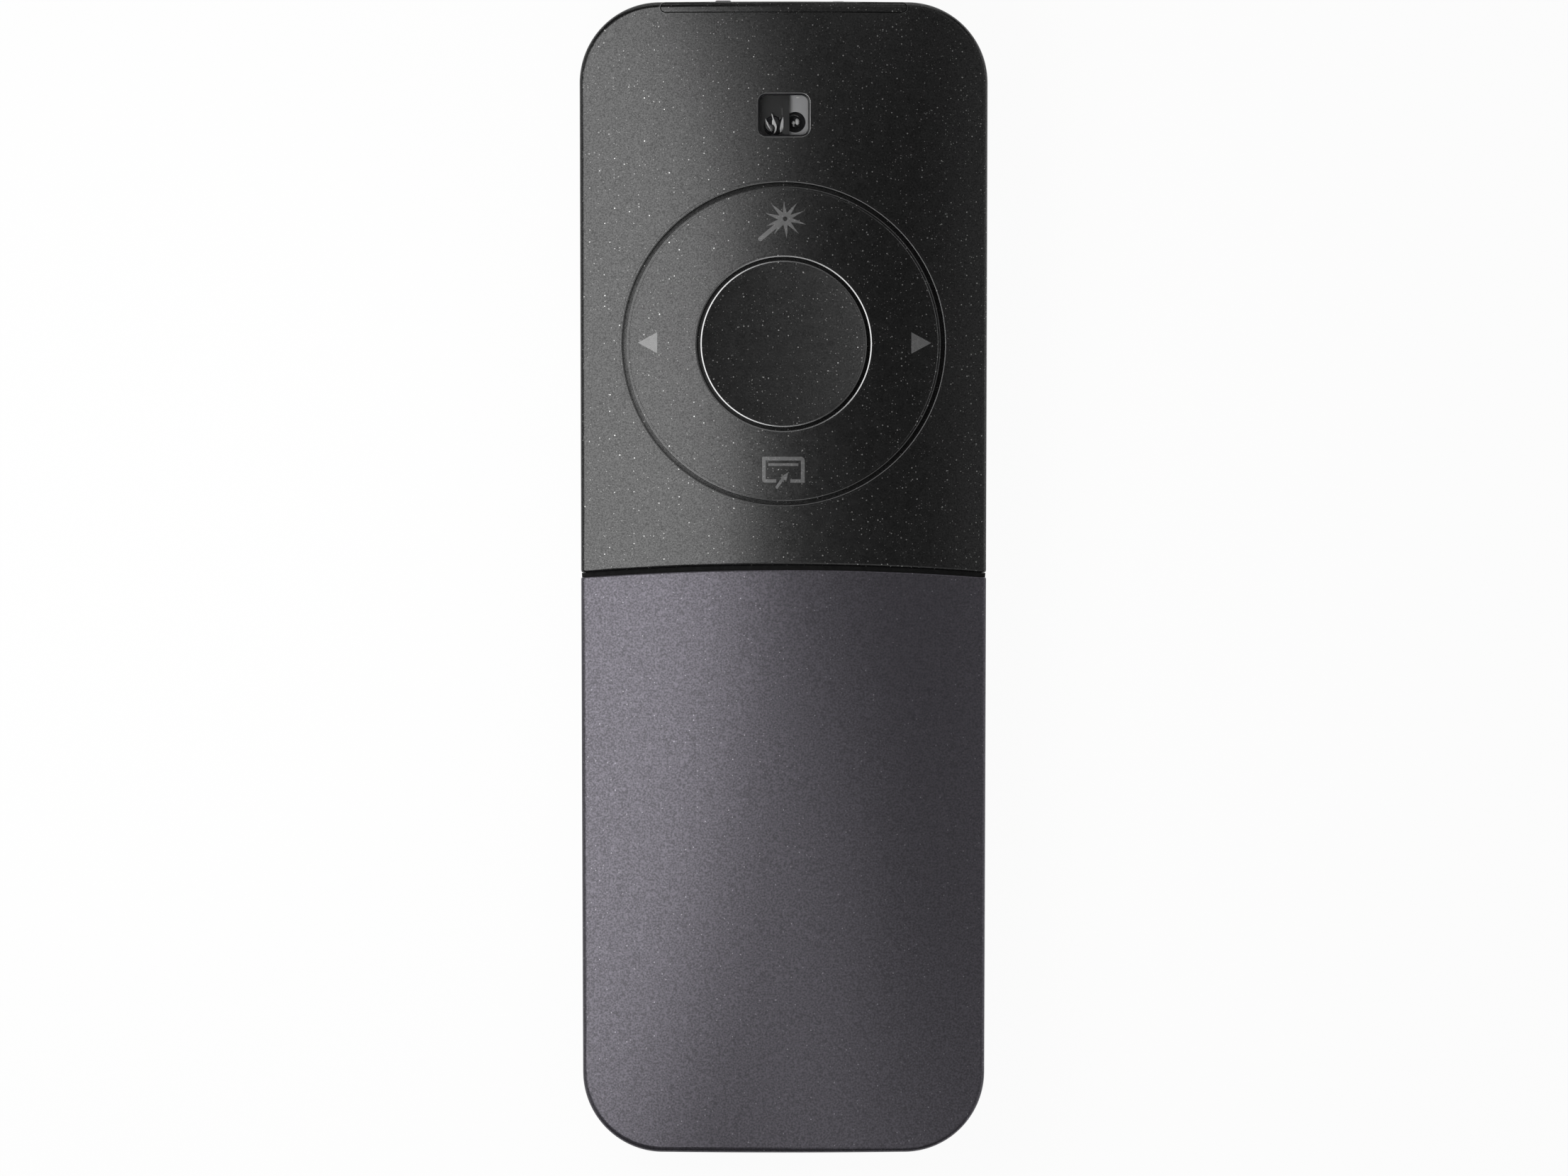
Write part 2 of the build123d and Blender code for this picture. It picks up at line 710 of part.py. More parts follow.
with BuildPart() as mouse_button_right:
    add(mouse_button_left.part.mirror(Plane.YZ))

with BuildPart() as touch_strip:
    add(mouse_front.part)
    for y in strip_post_stations:
        add(upright(0, y, strip_post_radius, wall / 2, board_bottom))
    add(front_half, mode=Mode.INTERSECT)
    add(block(-strip_width / 2, strip_width / 2, -half_length, half_length + 1, -1, tall),
        mode=Mode.INTERSECT)

with BuildPart() as button_axle:
    add(along_x(axle_y, axle_z, axle_radius, -axle_length / 2, axle_length / 2))
    chamfer(button_axle.edges(), axle_edge)

with BuildPart() as touch_film:
    add(cavity)
    add(case_form(wall + film_thickness), mode=Mode.SUBTRACT)
    add(block(-film_width / 2, film_width / 2, film_rear, film_front, 0, mid_height / 2),
        mode=Mode.INTERSECT)
    add(block(-film_width / 2, film_width / 2, film_front - film_thickness, film_front,
              belly_height(film_front, wall) + film_thickness / 2,
              board_bottom - film_plug_size[2]))

# ----------------------------------------------------------------- keys
with BuildPart() as ring_button:
    add(upright(0, ring_y, ring_radius, ring_under, tall))
    add(upright(0, ring_y, ring_bore, 0, tall), mode=Mode.SUBTRACT)
    add(outer, mode=Mode.INTERSECT)
    chamfer(ring_button.edges().filter_by(lambda edge: (edge @ 0.3).Z > face_zone), key_edge)
    with Locations((0, ring_y, ring_under)):
        Cylinder(ring_flange_radius, flange_thickness, align=low)
        Cylinder(ring_bore, flange_thickness, align=low, mode=Mode.SUBTRACT)
    for dx, dy in key_orbit.values():
        add(upright(dx * dome_orbit, ring_y + dy * dome_orbit, nub_radius, nub_tip, ring_under))
    for side in (-1, 1):
        near, far = sorted((ring_y + side * lug_inner, ring_y + side * lug_outer))
        add(block(-lug_width / 2, lug_width / 2, near, far, pivot_z - lug_drop, ring_under))
    add(along_y(0, pivot_z, trunnion_radius + trunnion_gap, ring_y - lug_outer - 1,
                ring_y - lug_inner + lug_relief), mode=Mode.SUBTRACT)
    add(along_y(0, pivot_z, trunnion_radius + trunnion_gap, ring_y + lug_inner - lug_relief,
                ring_y + lug_outer + 1), mode=Mode.SUBTRACT)

with BuildPart() as ring_carrier:
    add(upright(0, ring_y, carrier_outer, carrier_bottom, carrier_top))
    add(upright(0, ring_y, carrier_inner, carrier_bottom, carrier_top), mode=Mode.SUBTRACT)
    for side in (-1, 1):
        x0, x1 = sorted((side * (carrier_outer - trunnion_root), side * trunnion_reach))
        y0, y1 = sorted((ring_y + side * (lug_inner + trunnion_end_gap),
                         ring_y + side * (carrier_inner + trunnion_root)))
        add(along_x(ring_y, pivot_z, trunnion_radius, x0, x1))
        add(along_y(0, pivot_z, trunnion_radius, y0, y1))

with BuildPart() as center_button:
    add(upright(0, ring_y, center_radius, center_under, tall))
    add(outer, mode=Mode.INTERSECT)
    chamfer(center_button.edges().filter_by(lambda edge: (edge @ 0.3).Z > face_zone), center_edge)
    add(key_dish, mode=Mode.SUBTRACT)
    add(upright(0, ring_y, center_flange_radius, center_under, center_under + flange_thickness))
    add(upright(0, ring_y, 1.3 * nub_radius, nub_tip, center_under))
    for x in (-guide_x, guide_x):
        add(upright(x, ring_y, guide_radius, board_bottom + center_travel, center_under))

domes = {}
for name, (dx, dy) in {**key_orbit, "center": (0, 0)}.items():
    dome_arc = (dome_radius**2 + dome_height**2) / (2 * dome_height)
    with BuildPart() as dome:
        with Locations((dx * dome_orbit, ring_y + dy * dome_orbit, dome_top - dome_arc)):
            Sphere(dome_arc)
            Sphere(dome_arc - dome_sheet, mode=Mode.SUBTRACT)
        add(block(-half_width, half_width, 0, half_length, board_top, tall), mode=Mode.INTERSECT)
    domes["dome_" + name] = dome

# ----------------------------------------------------------------- optics and glide
with BuildPart() as sensor_lens:
    add(window_prism(-lens_gap, window_corner - lens_gap, lens_bottom, tall))
    add(below_face(lens_recess), mode=Mode.INTERSECT)
    add(window_prism(lens_margin, window_corner, lens_bottom, lens_bottom + lens_flange))

with BuildPart() as sensor_shroud:
    add(window_prism(lens_margin, window_corner, shroud_bottom, lens_bottom))
    side = window_width / 2 + shroud_side
    for x0, x1 in ((-side, bar_x - shroud_bar / 2), (bar_x + shroud_bar / 2, side)):
        add(block(x0, x1, window_y - window_length / 2, window_y + window_length / 2,
                  shroud_bottom + shroud_floor, lens_bottom), mode=Mode.SUBTRACT)
    add(upright(aperture_x, window_y + aperture_y, aperture_radius, 0, tall), mode=Mode.SUBTRACT)
    add(upright(emitter_x, window_y, emitter_radius + emitter_gap, 0, tall), mode=Mode.SUBTRACT)

with BuildPart() as sensor_chip:
    add(block(-chip_width / 2, chip_width / 2, window_y - chip_length / 2,
              window_y + chip_length / 2, board_top, shroud_bottom))
    add(upright(aperture_x, window_y + aperture_y, 0.6 * aperture_radius, board_top + chip_floor,
                tall),
        mode=Mode.SUBTRACT)

with BuildPart() as illumination_led:
    add(upright(emitter_x, window_y, emitter_radius, shroud_bottom,
                shroud_bottom + emitter_height))
    fillet(illumination_led.edges().sort_by(Axis.Z)[-1], 0.6 * emitter_height)

with BuildPart() as glide_strip:
    add(pill(glide_width, glide_length, half_length - glide_back, mid_height, tall))
    add(case_form(-glide_proud, below_crown(-glide_proud)), mode=Mode.INTERSECT)
    add(groove_floor, mode=Mode.SUBTRACT)

# ----------------------------------------------------------------- board and what it carries
with BuildPart() as main_board:
    add(plan_prism(frame_inset + frame_wall + board_gap, board_bottom, board_top))
    add(block(-half_width, half_width, board_rear, board_front, board_bottom, board_top),
        mode=Mode.INTERSECT)
    for x, y in board_screws_at:
        add(upright(x, y, screw_radius + hole_gap, 0, tall), mode=Mode.SUBTRACT)
    for x in (-guide_x, guide_x):
        add(upright(x, ring_y, guide_radius + guide_gap, 0, tall), mode=Mode.SUBTRACT)

with BuildPart() as board_screws:
    for x, y in board_screws_at:
        add(upright(x, y, screw_radius, board_bottom, board_bottom + screw_length))
        add(upright(x, y, screw_head_radius, board_bottom - screw_head_height, board_bottom))
        with Locations((x, y, board_bottom - screw_head_height)):
            Box(2 * screw_head_radius, slot_width, 2 * slot_depth, mode=Mode.SUBTRACT)
            Box(slot_width, 2 * screw_head_radius, 2 * slot_depth, mode=Mode.SUBTRACT)

with BuildPart() as case_screws:
    for x, y in case_screws_at:
        add(upright(x, y, case_screw_radius, tray_top - case_screw_length, tray_top))
        add(upright(x, y, case_screw_head, tray_top, tray_top + screw_head_height))
        with Locations((x, y, tray_top + screw_head_height)):
            Box(2 * case_screw_head, slot_width, 2 * slot_depth, mode=Mode.SUBTRACT)
            Box(slot_width, 2 * case_screw_head, 2 * slot_depth, mode=Mode.SUBTRACT)

with BuildPart() as radio_module:
    with Locations((radio_x, ring_y - radio_behind, board_bottom - radio_size[2])):
        Box(*radio_size, align=low)
    fillet(radio_module.edges().filter_by(Axis.Z), radio_corner)

with BuildPart() as gyro_chip:
    with Locations((gyro_x, ring_y - gyro_behind, board_bottom - gyro_size[2])):
        Box(*gyro_size, align=low)

with BuildPart() as charger_chip:
    with Locations((charger_x, window_y - charger_behind, board_top)):
        Box(*charger_size, align=low)

with BuildPart() as film_connector:
    with Locations((0, film_plug_y, board_bottom - film_plug_size[2])):
        Box(*film_plug_size, align=low)
    fillet(film_connector.edges().filter_by(Axis.Z), film_plug_corner)

capacitors_at = [(x, window_y + y) for x, y in window_capacitors]
capacitors_at += [(antenna_x + x, antenna_rear + y) for x, y in radio_capacitors]
with BuildPart() as board_capacitors:
    with Locations(*[(x, y, board_bottom - capacitor_size[2]) for x, y in capacitors_at]):
        Box(*capacitor_size, align=low)

with BuildPart() as antenna:
    foot = board_bottom - antenna_drop
    add(block(antenna_x, antenna_x + antenna_sheet, antenna_rear, antenna_rear + antenna_length,
              foot, foot + antenna_strip))
    for y in (antenna_rear, antenna_rear + antenna_pitch):
        add(block(antenna_x, antenna_x + antenna_sheet, y, y + antenna_strip, foot, board_bottom))

mouse_switches = {}
for side, sign in (("left", 1), ("right", -1)):
    x = sign * mouse_switch_x
    with BuildPart() as switch:
        with Locations((x, mouse_switch_y, switch_under)):
            Box(mouse_switch_size, mouse_switch_size, mouse_switch_height, align=low)
        fillet(switch.edges().filter_by(Axis.Z), mouse_switch_corner)
        add(upright(x, mouse_switch_y, plunger_radius + plunger_gap, 0,
                    switch_under + plunger_tail + click_travel), mode=Mode.SUBTRACT)
    with BuildPart() as plunger:
        add(upright(x, mouse_switch_y, plunger_radius, plunger_tip, switch_under + plunger_tail))
    mouse_switches["mouse_switch_" + side] = switch
    mouse_switches["mouse_plunger_" + side] = plunger

# ----------------------------------------------------------------- nose
with BuildPart() as usb_shell:
    with BuildSketch(Plane.XZ.offset(-usb_mouth)):
        with Locations((0, board_top + usb_height / 2)):
            RectangleRounded(usb_width, usb_height, usb_corner)
            RectangleRounded(usb_width - 2 * usb_sheet, usb_height - 2 * usb_sheet,
                             usb_corner - usb_sheet, mode=Mode.SUBTRACT)
    extrude(amount=usb_depth)
    add(block(-usb_width / 2 + usb_sheet, usb_width / 2 - usb_sheet, usb_mouth - usb_depth,
              usb_mouth - usb_depth + usb_sheet, board_top + usb_sheet,
              board_top + usb_height - usb_sheet))

with BuildPart() as usb_tongue:
    middle = board_top + usb_height / 2
    add(block(-tongue_width / 2, tongue_width / 2, usb_mouth - usb_depth + usb_sheet,
              usb_mouth - tongue_setback, middle - tongue_thickness / 2, middle + tongue_thickness / 2))
    add(block(-usb_width / 2 + 2 * usb_sheet, usb_width / 2 - 2 * usb_sheet,
              usb_mouth - usb_depth + usb_sheet, usb_mouth - usb_depth + usb_sheet + tongue_root,
              board_top + usb_sheet, board_top + usb_height - usb_sheet))

switch_middle = knob_x - slide_travel / 2
with BuildPart() as power_switch:
    add(block(switch_middle - power_switch_width / 2, switch_middle + power_switch_width / 2,
              nose_switch_rear, nose_switch_front, board_top, board_top + nose_switch_height))
    add(block(knob_x - slide_travel - lever_width / 2 - lever_gap, knob_x + lever_width / 2
              + lever_gap, nose_switch_front - lever_tail - lever_gap, nose_switch_front,
              nose_controls_z - lever_height / 2 - lever_gap,
              nose_controls_z + lever_height / 2 + lever_gap), mode=Mode.SUBTRACT)

with BuildPart() as power_switch_lever:
    add(block(knob_x - lever_width / 2, knob_x + lever_width / 2, nose_switch_front - lever_tail,
              plate_front - plate_thickness / 2, nose_controls_z - lever_height / 2,
              nose_controls_z + lever_height / 2))

with BuildPart() as power_knob:
    add(block(knob_x - knob_width / 2, knob_x + knob_width / 2, plate_front - plate_thickness,
              half_length + knob_proud, nose_controls_z - knob_height / 2,
              nose_controls_z + knob_height / 2))
    fillet(power_knob.edges().filter_by(Axis.Y), knob_corner)
    fillet(power_knob.faces().sort_by(Axis.Y)[-1].edges(), knob_edge)
    add(block(knob_x - knob_plate_left, knob_x + knob_plate_right, plate_front - plate_thickness,
              plate_front, nose_controls_z - knob_plate_height / 2,
              nose_controls_z + knob_plate_height / 2))
    add(block(knob_x - lever_width / 2, knob_x + lever_width / 2, 0,
              plate_front - plate_thickness / 2, nose_controls_z - lever_height / 2,
              nose_controls_z + lever_height / 2), mode=Mode.SUBTRACT)

with BuildPart() as pairing_switch:
    add(block(pair_x - pair_switch_width / 2, pair_x + pair_switch_width / 2,
              nose_switch_rear, nose_switch_front, board_top, board_top + nose_switch_height))
    add(along_y(pair_x, nose_controls_z - pair_stem_drop, lever_height / 2 + lever_gap,
                nose_switch_front - lever_tail - pair_travel - tip_gap, nose_switch_front + 1),
        mode=Mode.SUBTRACT)

with BuildPart() as pairing_plunger:
    add(along_y(pair_x, nose_controls_z - pair_stem_drop, lever_height / 2,
                nose_switch_front - lever_tail, plate_front - plate_thickness))

with BuildPart() as pairing_button:
    add(block(pair_x - pair_width / 2, pair_x + pair_width / 2, plate_front - plate_thickness,
              half_length + pair_proud, nose_controls_z - pair_height / 2,
              nose_controls_z + pair_height / 2))
    fillet(pairing_button.edges().filter_by(Axis.Y), pair_corner)
    fillet(pairing_button.faces().sort_by(Axis.Y)[-1].edges(), pair_edge)
    add(block(pair_x - pair_width / 2 - pair_flange_side, pair_x + pair_width / 2
              + pair_flange_side, plate_front - plate_thickness, plate_front,
              nose_controls_z - pair_flange_height / 2, nose_controls_z + pair_flange_height / 2))

with BuildPart() as status_led:
    with Locations((pipe_x, led_y, board_top)):
        Box(led_width, led_depth, led_height, align=low)

with BuildPart() as status_light_pipe:
    add(along_y(pipe_x, nose_controls_z, pipe_radius, led_y, half_length + 1))
    add(block(pipe_x - led_width / 2, pipe_x + led_width / 2, led_y - led_depth,
              led_y + 2 * led_depth, board_top + led_height + led_gap, nose_controls_z
              + pipe_radius))
    add(outer, mode=Mode.INTERSECT)

# ----------------------------------------------------------------- power
with BuildPart() as battery:
    add(block(-battery_width / 2, battery_width / 2, battery_rear, battery_front,
              battery_bottom, battery_top))
    fillet(battery.edges().filter_by(Axis.Y), battery_corner)

with BuildPart() as battery_pad:
    add(block(-battery_width / 2 + pad_inset, battery_width / 2 - pad_inset,
              battery_rear + pad_inset, battery_front - pad_inset, tray_top, battery_bottom))

with BuildPart() as battery_guard:
    add(block(guard_inset - battery_width / 2, battery_width / 2 - guard_inset, battery_front,
              battery_front + guard_length, guard_middle - guard_thickness / 2,
              guard_middle + guard_thickness / 2))
    fillet(battery_guard.edges().filter_by(Axis.X), guard_edge)

lead_rear = battery_front + guard_length
lead_start_z = guard_middle + lead_lift
lead_run = lead_end_share * (plug_rear - lead_rear)
lead_turn = atan2(abs(plug_middle - lead_start_z), plug_rear - lead_rear - 2 * lead_run)
lead_bend = 0.45 * lead_run / tan(lead_turn / 2)
leads = {}
for name, shift in (("battery_lead_red", lead_pitch / 2), ("battery_lead_black", -lead_pitch / 2)):
    x = header_x + shift
    route = [(x, lead_rear, lead_start_z), (x, lead_rear + lead_run, lead_start_z),
             (x, plug_rear - lead_run, plug_middle), (x, plug_rear, plug_middle)]
    with BuildPart() as lead:
        with BuildLine():
            FilletPolyline(*route, radius=lead_bend)
        with BuildSketch(Plane.XZ.offset(-lead_rear)):
            with Locations((x, lead_start_z)):
                Circle(lead_radius)
        sweep()
    leads[name] = lead

with BuildPart() as battery_plug:
    add(block(header_x - plug_width / 2, header_x + plug_width / 2, plug_rear, plug_front,
              plug_middle - plug_height / 2, plug_middle + plug_height / 2))
    add(block(header_x - plug_width / 2, header_x + plug_width / 2, plug_rear, header_rear - tip_gap,
              plug_middle - plug_height / 2 - plug_ridge, plug_middle + plug_height / 2))

with BuildPart() as battery_header:
    add(block(header_x - header_width / 2, header_x + header_width / 2, header_rear,
              header_rear + header_length, board_bottom - header_height, board_bottom))
    add(block(header_x - plug_width / 2 - plug_gap, header_x + plug_width / 2 + plug_gap, 0,
              plug_front + plug_gap, plug_middle - plug_height / 2 - plug_gap,
              plug_middle + plug_height / 2 + plug_gap), mode=Mode.SUBTRACT)

# ----------------------------------------------------------------- hand over
pieces = {
    "front_cover": front_cover, "rear_cover": rear_cover, "palm_cover": palm_cover,
    "chassis": chassis, "mouse_button_left": mouse_button_left,
    "mouse_button_right": mouse_button_right, "touch_strip": touch_strip,
    "button_axle": button_axle, "touch_film": touch_film, "ring_button": ring_button,
    "ring_carrier": ring_carrier, "center_button": center_button, **domes,
    "sensor_lens": sensor_lens, "sensor_shroud": sensor_shroud, "sensor_chip": sensor_chip,
    "illumination_led": illumination_led, "glide_strip": glide_strip, "main_board": main_board,
    "board_screws": board_screws, "case_screws": case_screws, "radio_module": radio_module,
    "gyro_chip": gyro_chip, "charger_chip": charger_chip, "film_connector": film_connector,
    "board_capacitors": board_capacitors, "antenna": antenna, **mouse_switches,
    "usb_shell": usb_shell, "usb_tongue": usb_tongue, "power_switch": power_switch,
    "power_switch_lever": power_switch_lever, "power_knob": power_knob,
    "pairing_switch": pairing_switch, "pairing_plunger": pairing_plunger,
    "pairing_button": pairing_button, "status_led": status_led,
    "status_light_pipe": status_light_pipe, "battery": battery, "battery_pad": battery_pad,
    "battery_guard": battery_guard, **leads, "battery_plug": battery_plug,
    "battery_header": battery_header,
}
os.makedirs("parts", exist_ok=True)
for name, piece in pieces.items():
    piece.part.label = name
    export_step(piece.part, "parts/" + name + ".step")
    size = piece.part.bounding_box()
    print(name, len(piece.part.solids()), piece.part.is_valid, round(piece.part.volume, 2),
          [round(v, 2) for v in (*size.min, *size.max)])
print(len(pieces), "pieces, click", round(click_angle, 4), "deg, lead bend", round(lead_bend, 2))
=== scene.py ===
"""Looks of the presentation clicker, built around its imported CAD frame. Lengths of materials and meshes are
in metres; sizes and places that are written out are in millimetres, and MM turns one into the other."""

import math

import bmesh
import bpy
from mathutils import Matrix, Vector
from mathutils.bvhtree import BVHTree

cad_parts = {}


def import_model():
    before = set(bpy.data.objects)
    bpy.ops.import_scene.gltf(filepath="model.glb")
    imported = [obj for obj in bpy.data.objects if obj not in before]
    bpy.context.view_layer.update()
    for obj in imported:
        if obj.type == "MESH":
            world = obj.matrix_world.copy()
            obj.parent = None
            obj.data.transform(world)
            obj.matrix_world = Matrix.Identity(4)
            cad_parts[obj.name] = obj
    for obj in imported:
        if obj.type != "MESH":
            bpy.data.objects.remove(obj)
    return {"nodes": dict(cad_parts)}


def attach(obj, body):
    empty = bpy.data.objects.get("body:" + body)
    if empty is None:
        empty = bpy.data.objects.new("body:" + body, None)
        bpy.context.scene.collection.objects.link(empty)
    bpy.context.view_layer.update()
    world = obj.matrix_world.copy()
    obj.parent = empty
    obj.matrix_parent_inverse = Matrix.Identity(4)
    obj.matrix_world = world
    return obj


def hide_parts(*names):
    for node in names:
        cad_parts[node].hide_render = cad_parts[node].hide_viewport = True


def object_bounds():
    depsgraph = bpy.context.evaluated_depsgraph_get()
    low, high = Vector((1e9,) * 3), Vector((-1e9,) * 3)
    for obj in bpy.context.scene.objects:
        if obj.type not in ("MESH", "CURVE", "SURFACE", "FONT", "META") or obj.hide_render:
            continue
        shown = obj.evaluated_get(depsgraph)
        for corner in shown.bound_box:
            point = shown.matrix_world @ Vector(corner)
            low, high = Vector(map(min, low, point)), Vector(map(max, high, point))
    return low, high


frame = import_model()
nodes = frame["nodes"]
cad_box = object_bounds()
MM = 0.001

# ------------------------------------------------------------------ camera, as the photograph frames the part
PHOTO_WIDTH = 2212
PHOTO_HEIGHT = 1659
PIXELS_PER_MM = 14.35           # at the brim
CENTRE_PIXEL = (1105.5, 814.0)  # the object's middle
CAMERA_HEIGHT = 1.20            # metres
BRIM = 0.0118                   # metres


def at_pixel(x, y):
    """Place on the part, in millimetres, of a pixel of the photograph."""
    return (x - CENTRE_PIXEL[0]) / PIXELS_PER_MM, (CENTRE_PIXEL[1] - y) / PIXELS_PER_MM


def from_crop(points, crop):
    """Places in millimetres of points read off an enlarged crop, given by its corner and its scale."""
    (left, top), scale = crop
    return [at_pixel(left + x / scale, top + y / scale) for x, y in points]


# ------------------------------------------------------------------ sizes of the case and keys, millimetres
FACE_HEIGHT = 12.6              # presenter face above the table, in the middle of the case
FACE_BOW = 2133.4               # the face rises by y * y / FACE_BOW towards both ends
FACE_CROWN = 130.0              # its radius across the case
SEAM_Y = 0.93                   # middle of the seam between the black and the grey half
SEAM_SAGITTA = 0.77             # how far it bends back at the sides
SEAM_HALF_LENGTH = 20.25        # to the side of the case
SEAM_RADIUS = (SEAM_HALF_LENGTH ** 2 + SEAM_SAGITTA ** 2) / (2 * SEAM_SAGITTA)
SEAM_GAP = 0.45                 # between the halves
RING_Y = 22.9                   # middle of the ring and of the centre key
KEY_RADIUS = 8.18               # centre key
BORE_RADIUS = 8.54              # hole of the ring
RING_RADIUS = 15.45
WELL_RADIUS = 15.86             # the ring's well in the front cover


def face_level(x, y):
    """Height of the presenter face, crowned across and bowed along, in millimetres."""
    return FACE_HEIGHT + y * y / FACE_BOW - (FACE_CROWN - math.sqrt(FACE_CROWN ** 2 - x * x))


# ------------------------------------------------------------------ material tools
def material(name, **values):
    """A new material, its node tree and its Principled shader with some sockets set."""
    made = bpy.data.materials.new(name)
    made.use_nodes = True
    bsdf = made.node_tree.nodes["Principled BSDF"]
    for key, value in values.items():
        bsdf.inputs[key.replace("_", " ")].default_value = value
    return made, made.node_tree, bsdf


def node(tree, kind, **settings):
    """Adds a node, setting its properties by name and its inputs by label."""
    made = tree.nodes.new(kind)
    for key, value in settings.items():
        if hasattr(made, key):
            setattr(made, key, value)
        else:
            made.inputs[key.replace("_", " ")].default_value = value
    return made


def grey(level):
    """A grey as a colour with alpha."""
    return (level, level, level, 1.0)


def object_place(tree):
    """The place on the object, in metres."""
    return node(tree, "ShaderNodeTexCoord").outputs["Object"]


def noise(tree, place, scale, detail=2.0, **settings):
    """Soft noise from 0 to 1, with scale swells to the metre."""
    made = node(tree, "ShaderNodeTexNoise", Scale=scale, Detail=detail, **settings)
    tree.links.new(place, made.inputs["Vector"])
    return made.outputs["Fac"]


def spread(tree, value, low, high, to_low, to_high, **settings):
    """Maps one range to another."""
    made = node(tree, "ShaderNodeMapRange", From_Min=low, From_Max=high, To_Min=to_low,
                To_Max=to_high, **settings)
    tree.links.new(value, made.inputs["Value"])
    return made.outputs["Result"]


def math_node(tree, operation, first, second):
    """Works one value out of two, each a number or a socket."""
    made = node(tree, "ShaderNodeMath", operation=operation)
    for socket, value in zip(made.inputs, (first, second)):
        if isinstance(value, (int, float)):
            socket.default_value = value
        else:
            tree.links.new(value, socket)
    return made.outputs[0]


def blend_colours(tree, factor, first, second):
    """Goes from the first colour to the second as the factor rises."""
    made = node(tree, "ShaderNodeMix", data_type="RGBA")
    tree.links.new(factor, made.inputs[0])
    for socket, value in ((made.inputs[6], first), (made.inputs[7], second)):
        if isinstance(value, tuple):
            socket.default_value = value
        else:
            tree.links.new(value, socket)
    return made.outputs[2]


def bump(tree, bsdf, height, distance, strength=1.0):
    """Raises the surface by a distance in metres where the height is 1."""
    made = node(tree, "ShaderNodeBump", Strength=strength, Distance=distance)
    tree.links.new(height, made.inputs["Height"])
    tree.links.new(made.outputs["Normal"], bsdf.inputs["Normal"])


def flakes(tree, place, scale, size, rarity):
    """Small round specks of uneven brightness, from 0 to 1."""
    cells = node(tree, "ShaderNodeTexVoronoi", Scale=scale)
    tree.links.new(place, cells.inputs["Vector"])
    spot = spread(tree, cells.outputs["Distance"], size, 0.4 * size, 0.0, 1.0,
                  interpolation_type="SMOOTHSTEP")
    luck = node(tree, "ShaderNodeSeparateColor")
    tree.links.new(cells.outputs["Color"], luck.inputs["Color"])
    return math_node(tree, "MULTIPLY", spot, math_node(tree, "POWER", luck.outputs["Red"], rarity))


def rings_of(tree, place, middle, circles):
    """The weight of the round band that a place is on, and 0 elsewhere. The bands lie about an upright line,
    and each is given by its radius, half width and weight."""
    shift = node(tree, "ShaderNodeVectorMath", operation="SUBTRACT")
    shift.inputs[1].default_value = (middle[0], middle[1], 0.0)
    tree.links.new(place, shift.inputs[0])
    flat = node(tree, "ShaderNodeVectorMath", operation="MULTIPLY")
    flat.inputs[1].default_value = (1.0, 1.0, 0.0)
    tree.links.new(shift.outputs[0], flat.inputs[0])
    reach = node(tree, "ShaderNodeVectorMath", operation="LENGTH")
    tree.links.new(flat.outputs[0], reach.inputs[0])
    total = 0.0
    for radius, width, weight in circles:
        away = math_node(tree, "ABSOLUTE", math_node(tree, "SUBTRACT", reach.outputs["Value"], radius), 0.0)
        near = spread(tree, away, width, 0.8 * width, 0.0, weight)
        total = math_node(tree, "MAXIMUM", near, total)
    return total


# ------------------------------------------------------------------ materials
def sparkle_black(name, roughness=0.25, edges=(), ior=1.65):
    """Satin black plastic with fine metal flakes; the given round bands are bright metal: a painted highlight
    on the bevels.
    """
    made, tree, bsdf = material(name, IOR=ior)
    place = object_place(tree)
    specks = math_node(tree, "MAXIMUM", flakes(tree, place, 2050.0, 0.175, 2.6),
                       math_node(tree, "MULTIPLY", flakes(tree, place, 3900.0, 0.22, 4.0), 0.6))
    cloud = spread(tree, noise(tree, place, 7000.0, 1.0), 0.35, 0.7, 0.0, 0.5)
    colour = blend_colours(tree, specks, grey(0.0048), (0.50, 0.50, 0.49, 1.0))
    tree.links.new(colour, bsdf.inputs["Base Color"])
    metallic = math_node(tree, "MAXIMUM", specks, cloud)
    rough = spread(tree, noise(tree, place, 900.0, 3.0), 0.3, 0.7, roughness - 0.02, roughness + 0.02)
    # painted highlight: the round bands on the bevels turn pale bright metal
    if edges:
        mask = rings_of(tree, place, (0.0, RING_Y * MM), edges)
        tree.links.new(blend_colours(tree, mask, colour, grey(0.27)), bsdf.inputs["Base Color"])
        metallic = math_node(tree, "MAXIMUM", metallic, mask)
    tree.links.new(metallic, bsdf.inputs["Metallic"])
    tree.links.new(rough, bsdf.inputs["Roughness"])
    bump(tree, bsdf, noise(tree, place, 5200.0, 2.0), 0.000002, 0.5)
    return made


def gunmetal():
    """Dark metallic paint with a fine mottle."""
    made, tree, bsdf = material("grey_plastic", IOR=1.5)
    place = object_place(tree)
    mottle = spread(tree, noise(tree, place, 5600.0, 2.0), 0.36, 0.66, 0.0, 1.0)
    colour = blend_colours(tree, mottle, (0.048, 0.0452, 0.0535, 1.0), (0.106, 0.0995, 0.116, 1.0))
    sparks = flakes(tree, place, 2600.0, 0.2, 5.0)
    colour = blend_colours(tree, sparks, colour, (0.30, 0.29, 0.32, 1.0))
    tree.links.new(colour, bsdf.inputs["Base Color"])
    tree.links.new(spread(tree, mottle, 0.0, 1.0, 0.54, 0.86), bsdf.inputs["Metallic"])
    tree.links.new(spread(tree, noise(tree, place, 1400.0, 3.0), 0.3, 0.7, 0.29, 0.35),
                   bsdf.inputs["Roughness"])
    bump(tree, bsdf, noise(tree, place, 5600.0, 2.0), 0.000004, 0.6)
    return made


